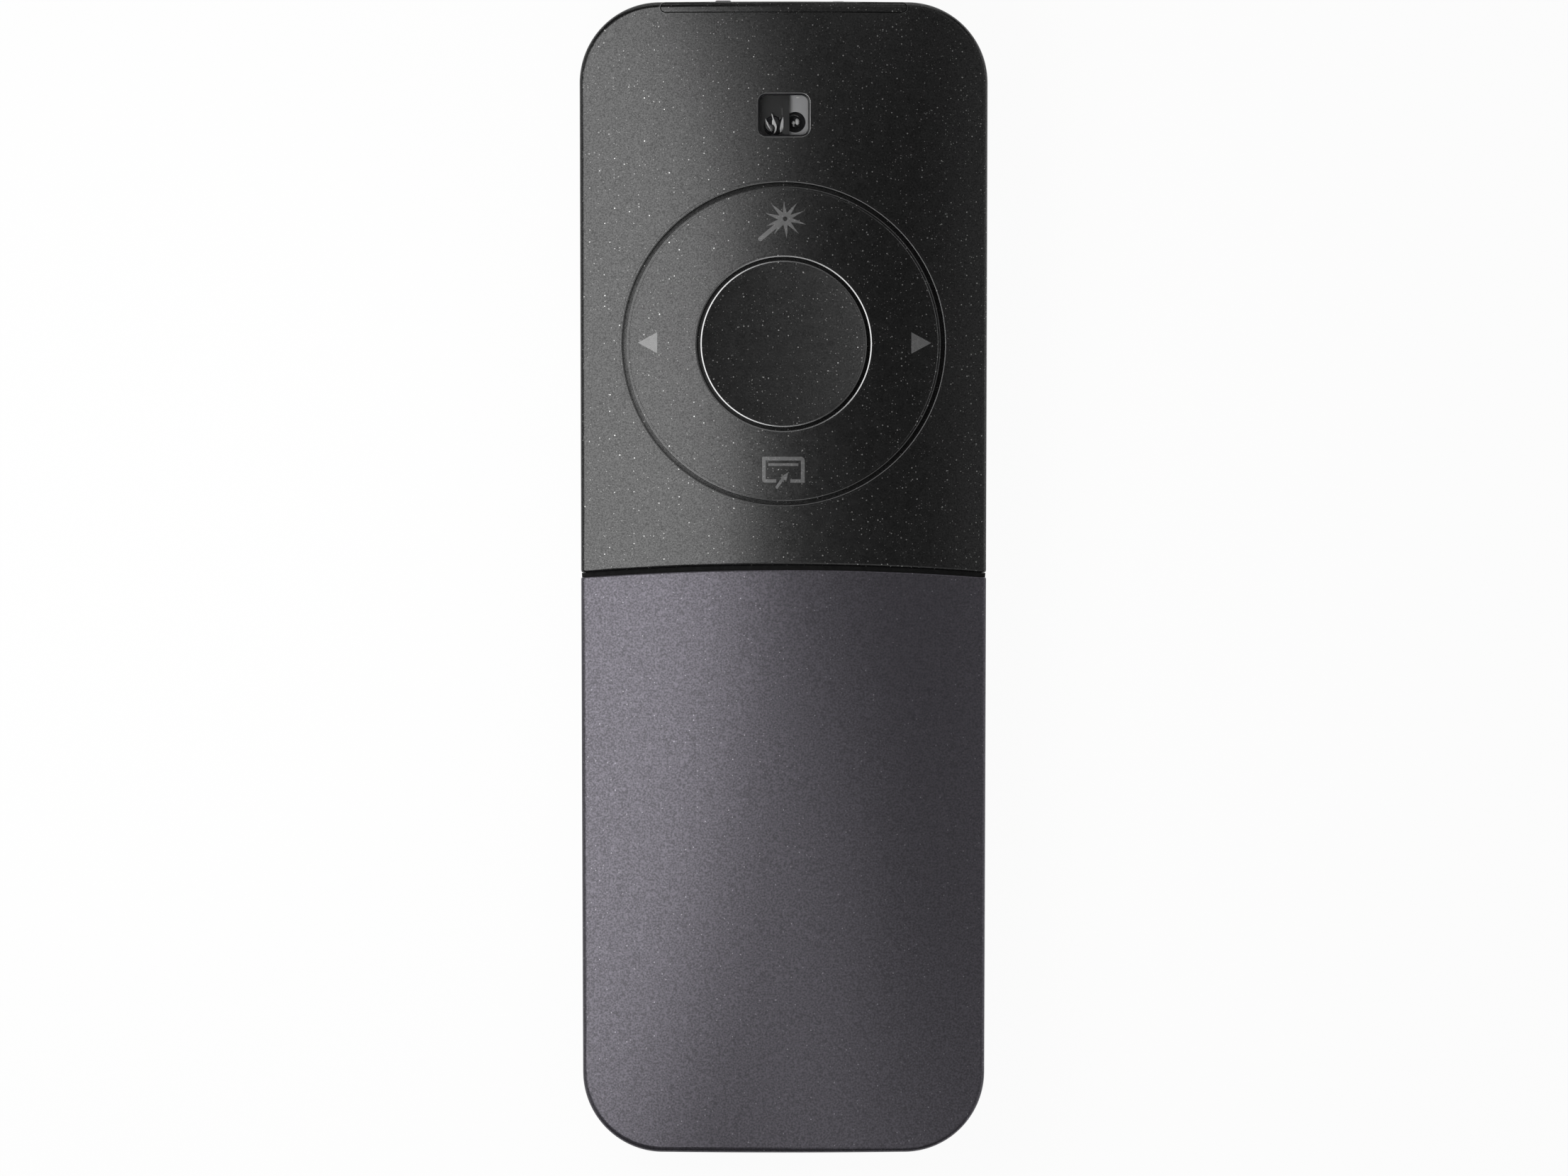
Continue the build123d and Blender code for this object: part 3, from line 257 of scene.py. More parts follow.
def moulded(name, colour, roughness=0.5, grain=2500.0, depth=0.000004, swing=0.12, **values):
    """Moulded plastic or rubber: a fine grain in its height, colour and gloss."""
    made, tree, bsdf = material(name, **values)
    place = object_place(tree)
    fine = noise(tree, place, grain, 3.0)
    dark = tuple(c * (1 - swing) for c in colour[:3]) + (1.0,)
    pale = tuple(min(1.0, c * (1 + swing)) for c in colour[:3]) + (1.0,)
    wide = spread(tree, noise(tree, place, 160.0, 3.0), 0.3, 0.7, 0.0, 1.0)
    tree.links.new(blend_colours(tree, wide, dark, pale), bsdf.inputs["Base Color"])
    tree.links.new(spread(tree, fine, 0.3, 0.7, roughness - 0.06, roughness + 0.06),
                   bsdf.inputs["Roughness"])
    bump(tree, bsdf, fine, depth)
    return made


def metal(name, colour, roughness=0.28, stretch=(30.0, 1.0, 1.0), depth=0.000002):
    """Rolled or turned metal with fine lines along one direction."""
    made, tree, bsdf = material(name, Metallic=1.0)
    place = object_place(tree)
    pulled = node(tree, "ShaderNodeMapping")
    pulled.inputs["Scale"].default_value = stretch
    tree.links.new(place, pulled.inputs["Vector"])
    lines = noise(tree, pulled.outputs["Vector"], 400.0, 4.0)
    dull = tuple(c * 0.8 for c in colour[:3]) + (1.0,)
    tree.links.new(blend_colours(tree, spread(tree, lines, 0.3, 0.7, 0.0, 1.0), dull, colour),
                   bsdf.inputs["Base Color"])
    tree.links.new(spread(tree, lines, 0.3, 0.7, roughness - 0.08, roughness + 0.08),
                   bsdf.inputs["Roughness"])
    bump(tree, bsdf, lines, depth)
    return made


def circuit_board():
    """Green solder mask over copper lines and small gold pads."""
    made, tree, bsdf = material("board", Roughness=0.32)
    place = object_place(tree)
    turned = node(tree, "ShaderNodeMapping")
    turned.inputs["Scale"].default_value = (1.0, 1.0, 0.0)
    tree.links.new(place, turned.inputs["Vector"])
    grid = node(tree, "ShaderNodeTexBrick", Scale=420.0, Mortar_Size=0.06, Mortar_Smooth=0.1,
                Brick_Width=1.3, Row_Height=0.42)
    tree.links.new(turned.outputs["Vector"], grid.inputs["Vector"])
    bend = spread(tree, noise(tree, turned.outputs["Vector"], 260.0, 1.0), 0.47, 0.53, 0.0, 1.0)
    lines = math_node(tree, "MULTIPLY", grid.outputs["Fac"], bend)
    mask = blend_colours(tree, lines, (0.006, 0.055, 0.024, 1.0), (0.018, 0.14, 0.055, 1.0))
    pads = spread(tree, flakes(tree, turned.outputs["Vector"], 380.0, 0.13, 0.4), 0.5, 0.6, 0.0, 1.0)
    tree.links.new(blend_colours(tree, pads, mask, (0.80, 0.55, 0.22, 1.0)), bsdf.inputs["Base Color"])
    tree.links.new(pads, bsdf.inputs["Metallic"])
    bump(tree, bsdf, lines, 0.00003)
    return made


def polyimide(name, base, stripe):
    """Amber film with copper lines under it."""
    made, tree, bsdf = material(name, Roughness=0.25)
    place = object_place(tree)
    lines = node(tree, "ShaderNodeTexWave", wave_type="BANDS", bands_direction="X", Scale=330.0)
    tree.links.new(place, lines.inputs["Vector"])
    mask = spread(tree, lines.outputs["Fac"], 0.55, 0.62, 0.0, 1.0)
    tree.links.new(blend_colours(tree, mask, base, stripe), bsdf.inputs["Base Color"])
    tree.links.new(math_node(tree, "MULTIPLY", mask, 0.5), bsdf.inputs["Metallic"])
    bump(tree, bsdf, mask, 0.00002)
    return made


def foil():
    """Crinkled pouch foil of a lithium polymer cell."""
    made, tree, bsdf = material("cell", Metallic=0.85)
    place = object_place(tree)
    creases = noise(tree, place, 320.0, 5.0, Roughness=0.6)
    tree.links.new(blend_colours(tree, spread(tree, creases, 0.35, 0.65, 0.0, 1.0),
                                 grey(0.42), (0.62, 0.62, 0.64, 1.0)), bsdf.inputs["Base Color"])
    tree.links.new(spread(tree, creases, 0.3, 0.7, 0.24, 0.42), bsdf.inputs["Roughness"])
    bump(tree, bsdf, creases, 0.00012)
    return made


def open_foam():
    """Black foam with open cells."""
    made, tree, bsdf = material("foam", Roughness=0.95)
    place = object_place(tree)
    cells = node(tree, "ShaderNodeTexVoronoi", Scale=2200.0)
    tree.links.new(place, cells.inputs["Vector"])
    tree.links.new(blend_colours(tree, cells.outputs["Distance"], grey(0.055), grey(0.012)),
                   bsdf.inputs["Base Color"])
    bump(tree, bsdf, cells.outputs["Distance"], 0.0001)
    return made


def see_through(name, colour, alpha, roughness=0.06):
    """Clear plastic that keeps its reflections."""
    made, tree, bsdf = material(name, Alpha=alpha, IOR=1.49)
    place = object_place(tree)
    haze = noise(tree, place, 700.0, 3.0)
    tree.links.new(spread(tree, haze, 0.3, 0.7, roughness, roughness + 0.03), bsdf.inputs["Roughness"])
    tree.links.new(blend_colours(tree, haze, colour, tuple(0.8 * c for c in colour[:3]) + (1.0,)),
                   bsdf.inputs["Base Color"])
    return made


# painted highlights: bright bands on bevels, each at a radius, with a half width and a weight
KEY_BAND, BORE_BAND, RING_BAND, WELL_BAND = (
    (radius * MM, half_width * MM, weight) for radius, half_width, weight in (
        (KEY_RADIUS - 0.07, 0.060, 1.0), (BORE_RADIUS + 0.07, 0.060, 1.0),
        (RING_RADIUS - 0.052, 0.042, 0.15), (WELL_RADIUS + 0.052, 0.042, 0.3)))
BLACK = sparkle_black("black_plastic")
# the next three carry the painted highlight bands on their bevels
WELL_RIM = sparkle_black("well_rim_plastic", edges=(WELL_BAND,))
KEYS = sparkle_black("key_plastic", edges=(BORE_BAND, RING_BAND))
CENTRE_KEY = sparkle_black("centre_key_plastic", edges=(KEY_BAND,), ior=1.52)
GREY = gunmetal()
GLOSS = moulded("gloss_black", (0.012, 0.012, 0.013), 0.12, depth=0.000001, swing=0.3)
CHASSIS = moulded("frame_plastic", (0.014, 0.014, 0.015), 0.55, swing=0.25)
POM = moulded("pom", (0.72, 0.71, 0.66), 0.42, swing=0.04)
STEEL = metal("steel", (0.58, 0.58, 0.57, 1.0))
DOME = metal("dome_steel", (0.74, 0.72, 0.66, 1.0), 0.18, stretch=(1.0, 1.0, 1.0))
BOARD = circuit_board()
CHIP = moulded("chip", (0.016, 0.016, 0.017), 0.48, grain=5200.0, swing=0.2)
FILM = polyimide("film", (0.50, 0.23, 0.035, 1.0), (0.62, 0.36, 0.16, 1.0))
CELL = foil()
FOAM = open_foam()
RED = moulded("red_wire", (0.48, 0.012, 0.010), 0.4, swing=0.1)
DARK_WIRE = moulded("black_wire", (0.014, 0.014, 0.014), 0.4, swing=0.2)
NYLON = moulded("white_plastic", (0.74, 0.73, 0.67), 0.45, swing=0.04)
CERAMIC = moulded("ceramic", (0.36, 0.25, 0.15), 0.35, grain=6000.0)
CLEAR = see_through("clear", (0.85, 0.87, 0.86, 1.0), 0.4)
PANE = see_through("window", (0.012, 0.012, 0.013, 1.0), 0.05)
INK = moulded("symbol_ink", (0.095, 0.095, 0.095), 0.25, grain=3000.0, depth=0.000001, swing=0.05, IOR=1.8)
BEZEL = moulded("bezel_gloss", (0.010, 0.010, 0.011), 0.12, depth=0.000001, swing=0.2)
POCKET = moulded("pocket_black", (0.003, 0.003, 0.003), 0.4, depth=0.000002, swing=0.3)
SILVER = moulded("pocket_silver", (0.34, 0.34, 0.345), 0.42, depth=0.000002, swing=0.10)
LENS_BLACK = moulded("lens_black", (0.010, 0.010, 0.011), 0.10, depth=0.000001, swing=0.2)
# painted highlights: a pale grey for the bright glints and streaks in the wells
PALE_HIGHLIGHT = moulded("painted_highlight_pale", (0.56, 0.56, 0.56), 0.25, depth=0.000001, swing=0.04)
# painted highlights: a dim grey for the faint glints and streaks in the wells
DIM_HIGHLIGHT = moulded("painted_highlight_dim", (0.06, 0.06, 0.06), 0.25, depth=0.000001, swing=0.2)
# painted highlight: a pale metal-grey for the bright line round the window's edge
EDGE_HIGHLIGHT = moulded("painted_highlight_edge", (0.30, 0.30, 0.30), 0.22, depth=0.000001, swing=0.05, Metallic=0.6)
# painted shade: near-black velvet for the glide's groove and the deep seam; in the seam it is also a real
# inner strip
GASKET_AND_SHADE = moulded("gasket_and_shade_black", (0.002, 0.002, 0.002), 0.9, depth=0.000002, swing=0.3)
# painted highlight: a paler grey for the lit edge round the glide's groove
GLIDE_HIGHLIGHT = moulded("glide_edge_highlight", (0.10, 0.10, 0.10), 0.3, depth=0.000001, swing=0.1, Metallic=0.5)

LOOKS = {
    BLACK: ("front_cover", "glide_strip", "mouse_button_left", "mouse_button_right"),
    KEYS: ("ring_button",),
    CENTRE_KEY: ("center_button",),
    GREY: ("rear_cover", "palm_cover"),
    GLOSS: ("touch_strip", "power_knob", "pairing_button"),
    CHASSIS: ("chassis", "sensor_shroud"),
    STEEL: ("button_axle", "board_screws", "case_screws", "radio_module", "antenna", "usb_shell",
            "power_switch", "pairing_switch"),
    FILM: ("touch_film", "battery_guard"),
    DOME: ("dome_up", "dome_down", "dome_left", "dome_right", "dome_center"),
    CHIP: ("sensor_chip", "gyro_chip", "charger_chip", "mouse_switch_left", "mouse_switch_right",
           "usb_tongue"),
    CLEAR: ("illumination_led", "status_led", "status_light_pipe"),
    BOARD: ("main_board",),
    NYLON: ("film_connector", "battery_plug", "battery_header", "mouse_plunger_left",
            "mouse_plunger_right"),
    CERAMIC: ("board_capacitors",),
    CELL: ("battery",),
    FOAM: ("battery_pad",),
    RED: ("battery_lead_red",),
    DARK_WIRE: ("battery_lead_black",),
    POM: ("ring_carrier", "power_switch_lever", "pairing_plunger"),
    PANE: ("sensor_lens",),
}
for look, names in LOOKS.items():
    for name in names:
        for slot in nodes[name].material_slots:
            slot.material = look


# ------------------------------------------------------------------ mesh tools
def surface_of(name):
    """Finds the height of a CAD node's upper surface, in metres, at a place in millimetres."""
    cast = bmesh.new()
    cast.from_mesh(nodes[name].data)
    tree = BVHTree.FromBMesh(cast)
    cast.free()
    start = cad_box[1][2] + MM

    def height(x, y):
        hit = tree.ray_cast(Vector((x * MM, y * MM, start)), Vector((0, 0, -1)))[0]
        return hit.z
    return height


def add_piece(name, shape, look, body, smooth=True, crease=None):
    """Makes a piece of the shape, which rides a body. Edges over the crease, in degrees, are marked sharp."""
    mesh = bpy.data.meshes.new(name)
    bmesh.ops.recalc_face_normals(shape, faces=shape.faces)
    for edge in shape.edges if crease else ():
        edge.smooth = edge.is_manifold and edge.calc_face_angle() < math.radians(crease)
    shape.to_mesh(mesh)
    shape.free()
    for face in mesh.polygons:
        face.use_smooth = smooth
    mesh.materials.append(look)
    item = bpy.data.objects.new(name, mesh)
    bpy.context.scene.collection.objects.link(item)
    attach(item, body)
    return item


def thicken(shape, faces, depth):
    """Makes a closed sheet of open faces: they sink by a depth in metres, and a copy stays in their place."""
    bmesh.ops.extrude_face_region(shape, geom=faces)
    for vert in {vert for face in faces for vert in face.verts}:
        vert.co.z -= depth


def rounded_rect(x, y, width, length, radius, steps=10):
    """Outline of a rectangle with round corners, anticlockwise from the right."""
    points = []
    for turn, (sx, sy) in enumerate(((1, 1), (-1, 1), (-1, -1), (1, -1))):
        for step in range(steps + 1):
            angle = math.radians(90 * (turn + step / steps))
            points.append((x + sx * (width / 2 - radius) + radius * math.cos(angle),
                           y + sy * (length / 2 - radius) + radius * math.sin(angle)))
    return points


def lofted(name, sections, look, body, closed=False, smooth=True):
    """A skin through outlines of equal count, each a list of places in millimetres. It ends in caps, or
    closed runs on from its last outline to its first."""
    shape = bmesh.new()
    rows = [[shape.verts.new((x * MM, y * MM, z * MM)) for x, y, z in section] for section in sections]
    following = rows[1:] + (rows[:1] if closed else [])
    for low, high in zip(rows, following):
        for i in range(len(low)):
            j = (i + 1) % len(low)
            shape.faces.new((low[i], low[j], high[j], high[i]))
    if not closed:
        shape.faces.new(rows[0][::-1])
        shape.faces.new(rows[-1])
    return add_piece(name, shape, look, body, smooth)


def dome(name, x, y, z, rx, ry, rise, look, rings=8, steps=40):
    """A low dome of the case with an oval foot, in millimetres."""
    sections = []
    for ring in range(rings):
        angle = math.radians(90 * ring / rings)
        sections.append([(x + rx * math.cos(angle) * math.cos(2 * math.pi * i / steps),
                          y + ry * math.cos(angle) * math.sin(2 * math.pi * i / steps),
                          z + rise * math.sin(angle)) for i in range(steps)])
    lofted(name, sections, look, "case")


# ------------------------------------------------------------------ printed symbols on the ring key
INK_PROUD = 0.01                # millimetres above the ring
INK_DEPTH = 0.04
INK_STEP = 0.5                  # edges longer than this are cut, so that the ink follows the ring's curve
INK_CUTS = 3                    # at most this often
ring_height = surface_of("ring_button")


def print_symbol(name, *outlines):
    """Ink with the given outlines in millimetres, let into the ring's face."""
    shape = bmesh.new()
    edges = []
    for outline in outlines:
        corners = [shape.verts.new((x, y, 0)) for x, y in outline]
        edges += [shape.edges.new((a, b)) for a, b in zip(corners, corners[1:] + corners[:1])]
    bmesh.ops.triangle_fill(shape, use_beauty=True, use_dissolve=False, edges=edges)
    for _ in range(INK_CUTS):
        long = [edge for edge in shape.edges if edge.calc_length() > INK_STEP]
        if long:
            bmesh.ops.subdivide_edges(shape, edges=long, cuts=1, use_grid_fill=False)
            bmesh.ops.triangulate(shape, faces=shape.faces)
    for vert in shape.verts:
        x, y = vert.co.x, vert.co.y
        vert.co = (x * MM, y * MM, ring_height(x, y) + INK_PROUD * MM)
    top = list(shape.faces)
    for face in top:
        if face.normal.z < 0:
            face.normal_flip()
    thicken(shape, top, INK_DEPTH * MM)
    add_piece(name, shape, INK, "ring", smooth=False)


WAND_CROP = ((1050, 270), 14.25)
WAND = [(798, 195), (822, 340), (855, 440), (960, 330), (1068, 232), (1000, 345), (928, 482), (1060, 440),
        (1210, 398), (1080, 470), (962, 548), (1090, 598), (1243, 675), (1100, 650), (935, 628), (1010, 745),
        (1098, 865), (985, 775), (868, 680), (866, 800), (850, 950), (818, 800), (785, 680), (700, 760),
        (598, 868), (655, 745), (372, 980), (350, 1003), (318, 1008), (285, 990), (275, 958), (290, 935),
        (610, 665), (530, 688), (445, 712), (545, 640), (680, 575), (560, 515), (420, 445), (560, 470),
        (705, 490), (620, 370), (545, 262), (660, 345), (780, 440), (783, 330)]
BURST_MIDDLE = (820, 560)
BURST_RADIUS = 47
BURST_STEPS = 28
burst_hole = [(BURST_MIDDLE[0] + BURST_RADIUS * math.cos(2 * math.pi * i / BURST_STEPS),
               BURST_MIDDLE[1] + BURST_RADIUS * math.sin(2 * math.pi * i / BURST_STEPS))
              for i in range(BURST_STEPS)]
PREVIOUS = ((899.8, 483.5), (927.2, 468.8), (927.2, 498.6))             # pixels of the photograph
NEXT = ((1313.6, 484.0), (1285.6, 499.1), (1285.6, 468.9))
SCREEN_CROP = ((1060, 630), 17.42)
FRAME = [(283, 252), (1238, 252), (1270, 268), (1298, 300), (1310, 335), (1310, 890), (955, 890), (955, 805),
         (1215, 805), (1215, 345), (352, 345), (352, 805), (612, 805), (612, 886), (318, 886), (290, 868),
         (270, 842), (265, 810), (265, 272), (270, 258)]
BAR = [(415, 412), (1155, 412), (1155, 478), (415, 478)]
ARROW = [(905, 635), (880, 750), (850, 862), (828, 820), (786, 835), (640, 1043), (618, 1038), (592, 1005),
         (592, 985), (742, 778), (705, 765), (800, 700)]

print_symbol("symbol_wand", from_crop(WAND, WAND_CROP), from_crop(burst_hole, WAND_CROP))
print_symbol("symbol_previous", [at_pixel(*corner) for corner in PREVIOUS])
print_symbol("symbol_next", [at_pixel(*corner) for corner in NEXT])
print_symbol("symbol_screen_frame", from_crop(FRAME, SCREEN_CROP))
print_symbol("symbol_screen_bar", from_crop(BAR, SCREEN_CROP))
print_symbol("symbol_screen_arrow", from_crop(ARROW, SCREEN_CROP))


# ------------------------------------------------------------------ fine edges of the keys and their well
RIM_LIFT = 0.008                # millimetres above the face, so that the rim covers the CAD's own edge
RIM_DEPTH = 0.8
RIM_STEPS = 288
WIDE_BEVEL = 0.12
FINE_BEVEL = 0.085
KEY_DISH = 0.00834              # the key sinks by this times the fall of its squared radius


def key_rim(name, wall, side, look, body, bevel, dish=0.0):
    """A band round a key's edge, in millimetres: its wall stands at a radius and faces out (side 1) or in
    (side -1), its shallow bevel catches the light, and its top follows the face. Inside a dished key the top
    sinks with the dish."""
    low = RIM_LIFT - 0.25 * bevel
    profile = [(0.0, -RIM_DEPTH), (0.0, low - 0.03), (0.004, low - 0.012), (0.012, low - 0.002), (0.02, low),
               (0.01 + bevel, RIM_LIFT - 0.003), (0.02 + bevel, RIM_LIFT), (0.26, RIM_LIFT), (0.34, -0.02),
               (0.34, -RIM_DEPTH)]
    sections = []
    for i in range(RIM_STEPS):
        angle = 2 * math.pi * i / RIM_STEPS
        section = []
        for inward, rise in profile:
            radius = wall - side * inward
            x, y = radius * math.cos(angle), RING_Y + radius * math.sin(angle)
            sunk = dish * max(0.0, KEY_RADIUS ** 2 - radius * radius)
            section.append((x, y, face_level(x, y) + rise - sunk))
        sections.append(section)
    lofted(name, sections, look, body, closed=True, smooth=False)


key_rim("center_key_rim", KEY_RADIUS, 1, CENTRE_KEY, "center_button", WIDE_BEVEL, KEY_DISH)
key_rim("ring_bore_rim", BORE_RADIUS, -1, KEYS, "ring", WIDE_BEVEL)
key_rim("ring_outer_rim", RING_RADIUS, 1, KEYS, "ring", FINE_BEVEL)
key_rim("ring_well_rim", WELL_RADIUS, -1, WELL_RIM, "case", FINE_BEVEL)


# ------------------------------------------------------------------ skin between the seam and the ring's well
SKIN_HALF_LENGTH = 12.0         # millimetres
SKIN_OFF_SEAM = 0.30            # clear of the rounded edge at the seam
SKIN_OFF_WELL = 0.28
SKIN_PROUD = 0.006
SKIN_DEPTH = 0.04
SKIN_COLUMNS = 96
SKIN_ROWS = 12


def seam_skin():
    """A fine skin over the strip of the front cover between the seam and the ring's well."""
    shape = bmesh.new()
    grid = []
    for i in range(SKIN_COLUMNS + 1):
        x = -SKIN_HALF_LENGTH + 2 * SKIN_HALF_LENGTH * i / SKIN_COLUMNS
        seam = SEAM_Y - SEAM_RADIUS + math.sqrt(SEAM_RADIUS * SEAM_RADIUS - x * x)
        low = seam + SEAM_GAP / 2 + SKIN_OFF_SEAM
        high = RING_Y - math.sqrt((WELL_RADIUS + SKIN_OFF_WELL) ** 2 - x * x)
        grid.append([shape.verts.new((x * MM, y * MM, (face_level(x, y) + SKIN_PROUD) * MM))
                     for y in (low + (high - low) * j / SKIN_ROWS for j in range(SKIN_ROWS + 1))])
    for one, two in zip(grid, grid[1:]):
        for j in range(SKIN_ROWS):
            shape.faces.new((one[j], two[j], two[j + 1], one[j + 1]))
    thicken(shape, list(shape.faces), SKIN_DEPTH * MM)
    add_piece("front_seam_skin", shape, BLACK, "case", crease=60)


seam_skin()


# ------------------------------------------------------------------ sensor window
WINDOW = (0.0, 45.35)           # its middle, in millimetres
WINDOW_SIZE = (5.26, 4.36)
WINDOW_CORNER = 0.93
WINDOW_FACE = face_level(*WINDOW)


def window_outline(inset, depth):
    """Outline of the window, narrowed by an inset and sunk below the face by a depth."""
    width, length = (size - 2 * inset for size in WINDOW_SIZE)
    return [(x, y, face_level(x, y) - depth)
            for x, y in rounded_rect(*WINDOW, width, length, WINDOW_CORNER - inset)]


# painted highlight: the window's edge band is pale metal-grey
lofted("window_edge", [window_outline(0.0, 1.0), window_outline(0.0, -0.005), window_outline(0.02, 0.0),
                       window_outline(0.06, 0.05), window_outline(0.06, 1.0)],
       EDGE_HIGHLIGHT, "case", closed=True, smooth=False)
lofted("window_bezel", [window_outline(0.065, 1.9), window_outline(0.065, 0.12), window_outline(0.11, 0.16),
                        window_outline(0.21, 0.17), window_outline(0.24, 0.22), window_outline(0.24, 1.9)],
       BEZEL, "case", closed=True, smooth=False)
pane = lofted("window_pane",
              [window_outline(0.24, 0.62), window_outline(0.24, 0.36), window_outline(0.27, 0.34)],
              PANE, "case", smooth=False)
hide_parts("sensor_lens")

# the two wells below the pane, in millimetres: the emitter's on the left, the sensor's on the right
WELL_FLOOR = WINDOW_FACE - 1.55
WELL_HALF_WIDTH = 2.45
WELL_HALF_LENGTH = 2.1
WALL = (0.0, 0.565)             # the wall between them, from and to along X
CHINK = 0.005
APERTURE = (1.13, 44.69, 1.02)  # middle and radius of the notch in the sensor's floor
NOTCH_STEPS = 48
APERTURE_END = 2.3              # right end of the floor below the notch


def pocket(name, x0, x1, top, bottom, look, slot, notch=None):
    """A block across the window between two places along X, with an optional round notch in its left side."""
    rear, front = WINDOW[1] - WELL_HALF_LENGTH, WINDOW[1] + WELL_HALF_LENGTH
    outline = [(x0, rear), (x1, rear), (x1, front), (x0, front)]
    if notch:
        x, y, radius = notch
        start = math.acos((x0 - x) / radius)
        angles = [start - 2 * start * i / NOTCH_STEPS for i in range(NOTCH_STEPS + 1)]
        outline += [(x + radius * math.cos(angle), y + radius * math.sin(angle)) for angle in angles]
    shape = bmesh.new()
    face = shape.faces.new([shape.verts.new((x * MM, y * MM, bottom * MM)) for x, y in outline])
    raised = bmesh.ops.extrude_face_region(shape, geom=[face])
    for vert in (v for v in raised["geom"] if isinstance(v, bmesh.types.BMVert)):
        vert.co.z = top * MM
    bmesh.ops.triangulate(shape, faces=shape.faces)
    add_piece(name, shape, look, "case", smooth=False)


pocket("window_bar", *WALL, WINDOW_FACE - 0.66, WELL_FLOOR - 0.5, POCKET, "frame_plastic")
pocket("emitter_pocket", -WELL_HALF_WIDTH, WALL[0] - CHINK, WELL_FLOOR, WELL_FLOOR - 0.5, POCKET,
       "frame_plastic")
pocket("sensor_floor", WALL[1] + CHINK, WELL_HALF_WIDTH, WELL_FLOOR + 0.45, WELL_FLOOR - 0.1, SILVER, "steel",
       notch=APERTURE)
pocket("aperture_floor", WALL[1] + CHINK, APERTURE_END, WELL_FLOOR - 0.12, WELL_FLOOR - 0.5, LENS_BLACK,
       "gloss_black")


# ------------------------------------------------------------------ lenses in the wells, and painted highlights on them
WINDOW_CROP = ((1060, 125), 16.5)
SLIVER_TAPER = 0.06              # the top's outline is smaller by this share
LOBE = WELL_FLOOR - 0.14        # foot of the sensor's lens
# painted highlights on the emitter's lens: pale and dim slivers on the well's floor
EMITTER_HIGHLIGHTS = (              # name, outline in the crop, material, foot above the well's floor, rise
    ("emitter_highlight_left", [(322, 688), (345, 740), (385, 800), (402, 860), (440, 940), (480, 1028),
                            (430, 960), (385, 890), (350, 830), (330, 760)], PALE_HIGHLIGHT, 0.1, 0.32),
    ("emitter_highlight_dim", [(330, 770), (345, 830), (385, 905), (430, 985), (445, 1015), (400, 990),
                             (350, 930), (322, 860), (315, 800)], DIM_HIGHLIGHT, 0.08, 0.30),
    ("emitter_highlight_middle", [(460, 570), (490, 600), (515, 690), (550, 765), (580, 840), (594, 905),
                              (585, 970), (560, 1030), (520, 1065), (542, 1005), (552, 955), (545, 900),
                              (515, 850), (480, 838), (478, 760), (494, 715), (476, 640)], PALE_HIGHLIGHT, 0.1, 0.34),
    ("emitter_highlight_right", [(742, 650), (748, 760), (745, 900), (722, 1015), (712, 900), (700, 1000),
                             (668, 1040), (662, 930), (680, 820), (700, 740)], PALE_HIGHLIGHT, 0.02, 0.26),
    ("emitter_glint", [(640, 700), (660, 660), (690, 655), (680, 700), (650, 735)], DIM_HIGHLIGHT, 0.02, 0.25),
    ("emitter_highlight_faint", [(690, 450), (735, 440), (742, 640), (700, 640)], DIM_HIGHLIGHT, 0.0, 0.12),
)
# painted highlights on the aperture's rim and on the sensor's floor
SENSOR_HIGHLIGHTS = (
    ("aperture_arc", [(885, 632), (940, 612), (1000, 604), (1060, 618), (1112, 655), (1105, 672), (1050, 642),
                      (1000, 628), (945, 634), (890, 650)], DIM_HIGHLIGHT, -0.12, 0.2),
    ("sensor_floor_highlight", [(1035, 205), (1060, 196), (1100, 202), (1130, 212), (1100, 226), (1055, 232)], PALE_HIGHLIGHT,
     0.44, 0.03),
)
GLINTS = (                      # name, middle in the crop, half width, half length, rise
    ("aperture_glint_large", (1065, 775), 0.235, 0.36, 0.34),
    ("aperture_glint_small", (982, 800), 0.195, 0.235, 0.32),
)


def highlight_sliver(name, points, look, foot, rise):
    """A slim raised sliver with a flat top, which stands on the well's floor: a painted highlight."""
    outline = from_crop(points, WINDOW_CROP)
    base = WELL_FLOOR + foot
    shape = bmesh.new()
    low = [shape.verts.new((x * MM, y * MM, base * MM)) for x, y in outline]
    cx = sum(x for x, _ in outline) / len(outline)
    cy = sum(y for _, y in outline) / len(outline)
    high = [shape.verts.new(((x + SLIVER_TAPER * (cx - x)) * MM, (y + SLIVER_TAPER * (cy - y)) * MM,
                             (base + rise) * MM)) for x, y in outline]
    for i in range(len(low)):
        j = (i + 1) % len(low)
        shape.faces.new((low[i], low[j], high[j], high[i]))
    cap = shape.faces.new(high)
    foot_face = shape.faces.new(low[::-1])
    bmesh.ops.triangulate(shape, faces=[cap, foot_face])
    add_piece(name, shape, look, "case", smooth=False)


dome("emitter_lens", -1.0, 44.35, WELL_FLOOR - 0.02, 0.98, 0.98, 0.3, LENS_BLACK)
for values in EMITTER_HIGHLIGHTS:
    highlight_sliver(*values)
dome("aperture_lens", 1.12, 44.66, LOBE, 0.60, 0.62, 0.22, LENS_BLACK)
# painted highlights: pale domes on the sensor's lens
for name, middle, half_width, half_length, rise in GLINTS:
    x, y = from_crop([middle], WINDOW_CROP)[0]
    dome(name, x, y, LOBE + 0.02, half_width, half_length, rise, PALE_HIGHLIGHT)
for values in SENSOR_HIGHLIGHTS:
    highlight_sliver(*values)


# ------------------------------------------------------------------ glide on the nose
GLIDE_Y = 55.89                 # its middle, in millimetres
GLIDE_HALF_LENGTH = 12.05
GLIDE_HALF_WIDTH = 0.41


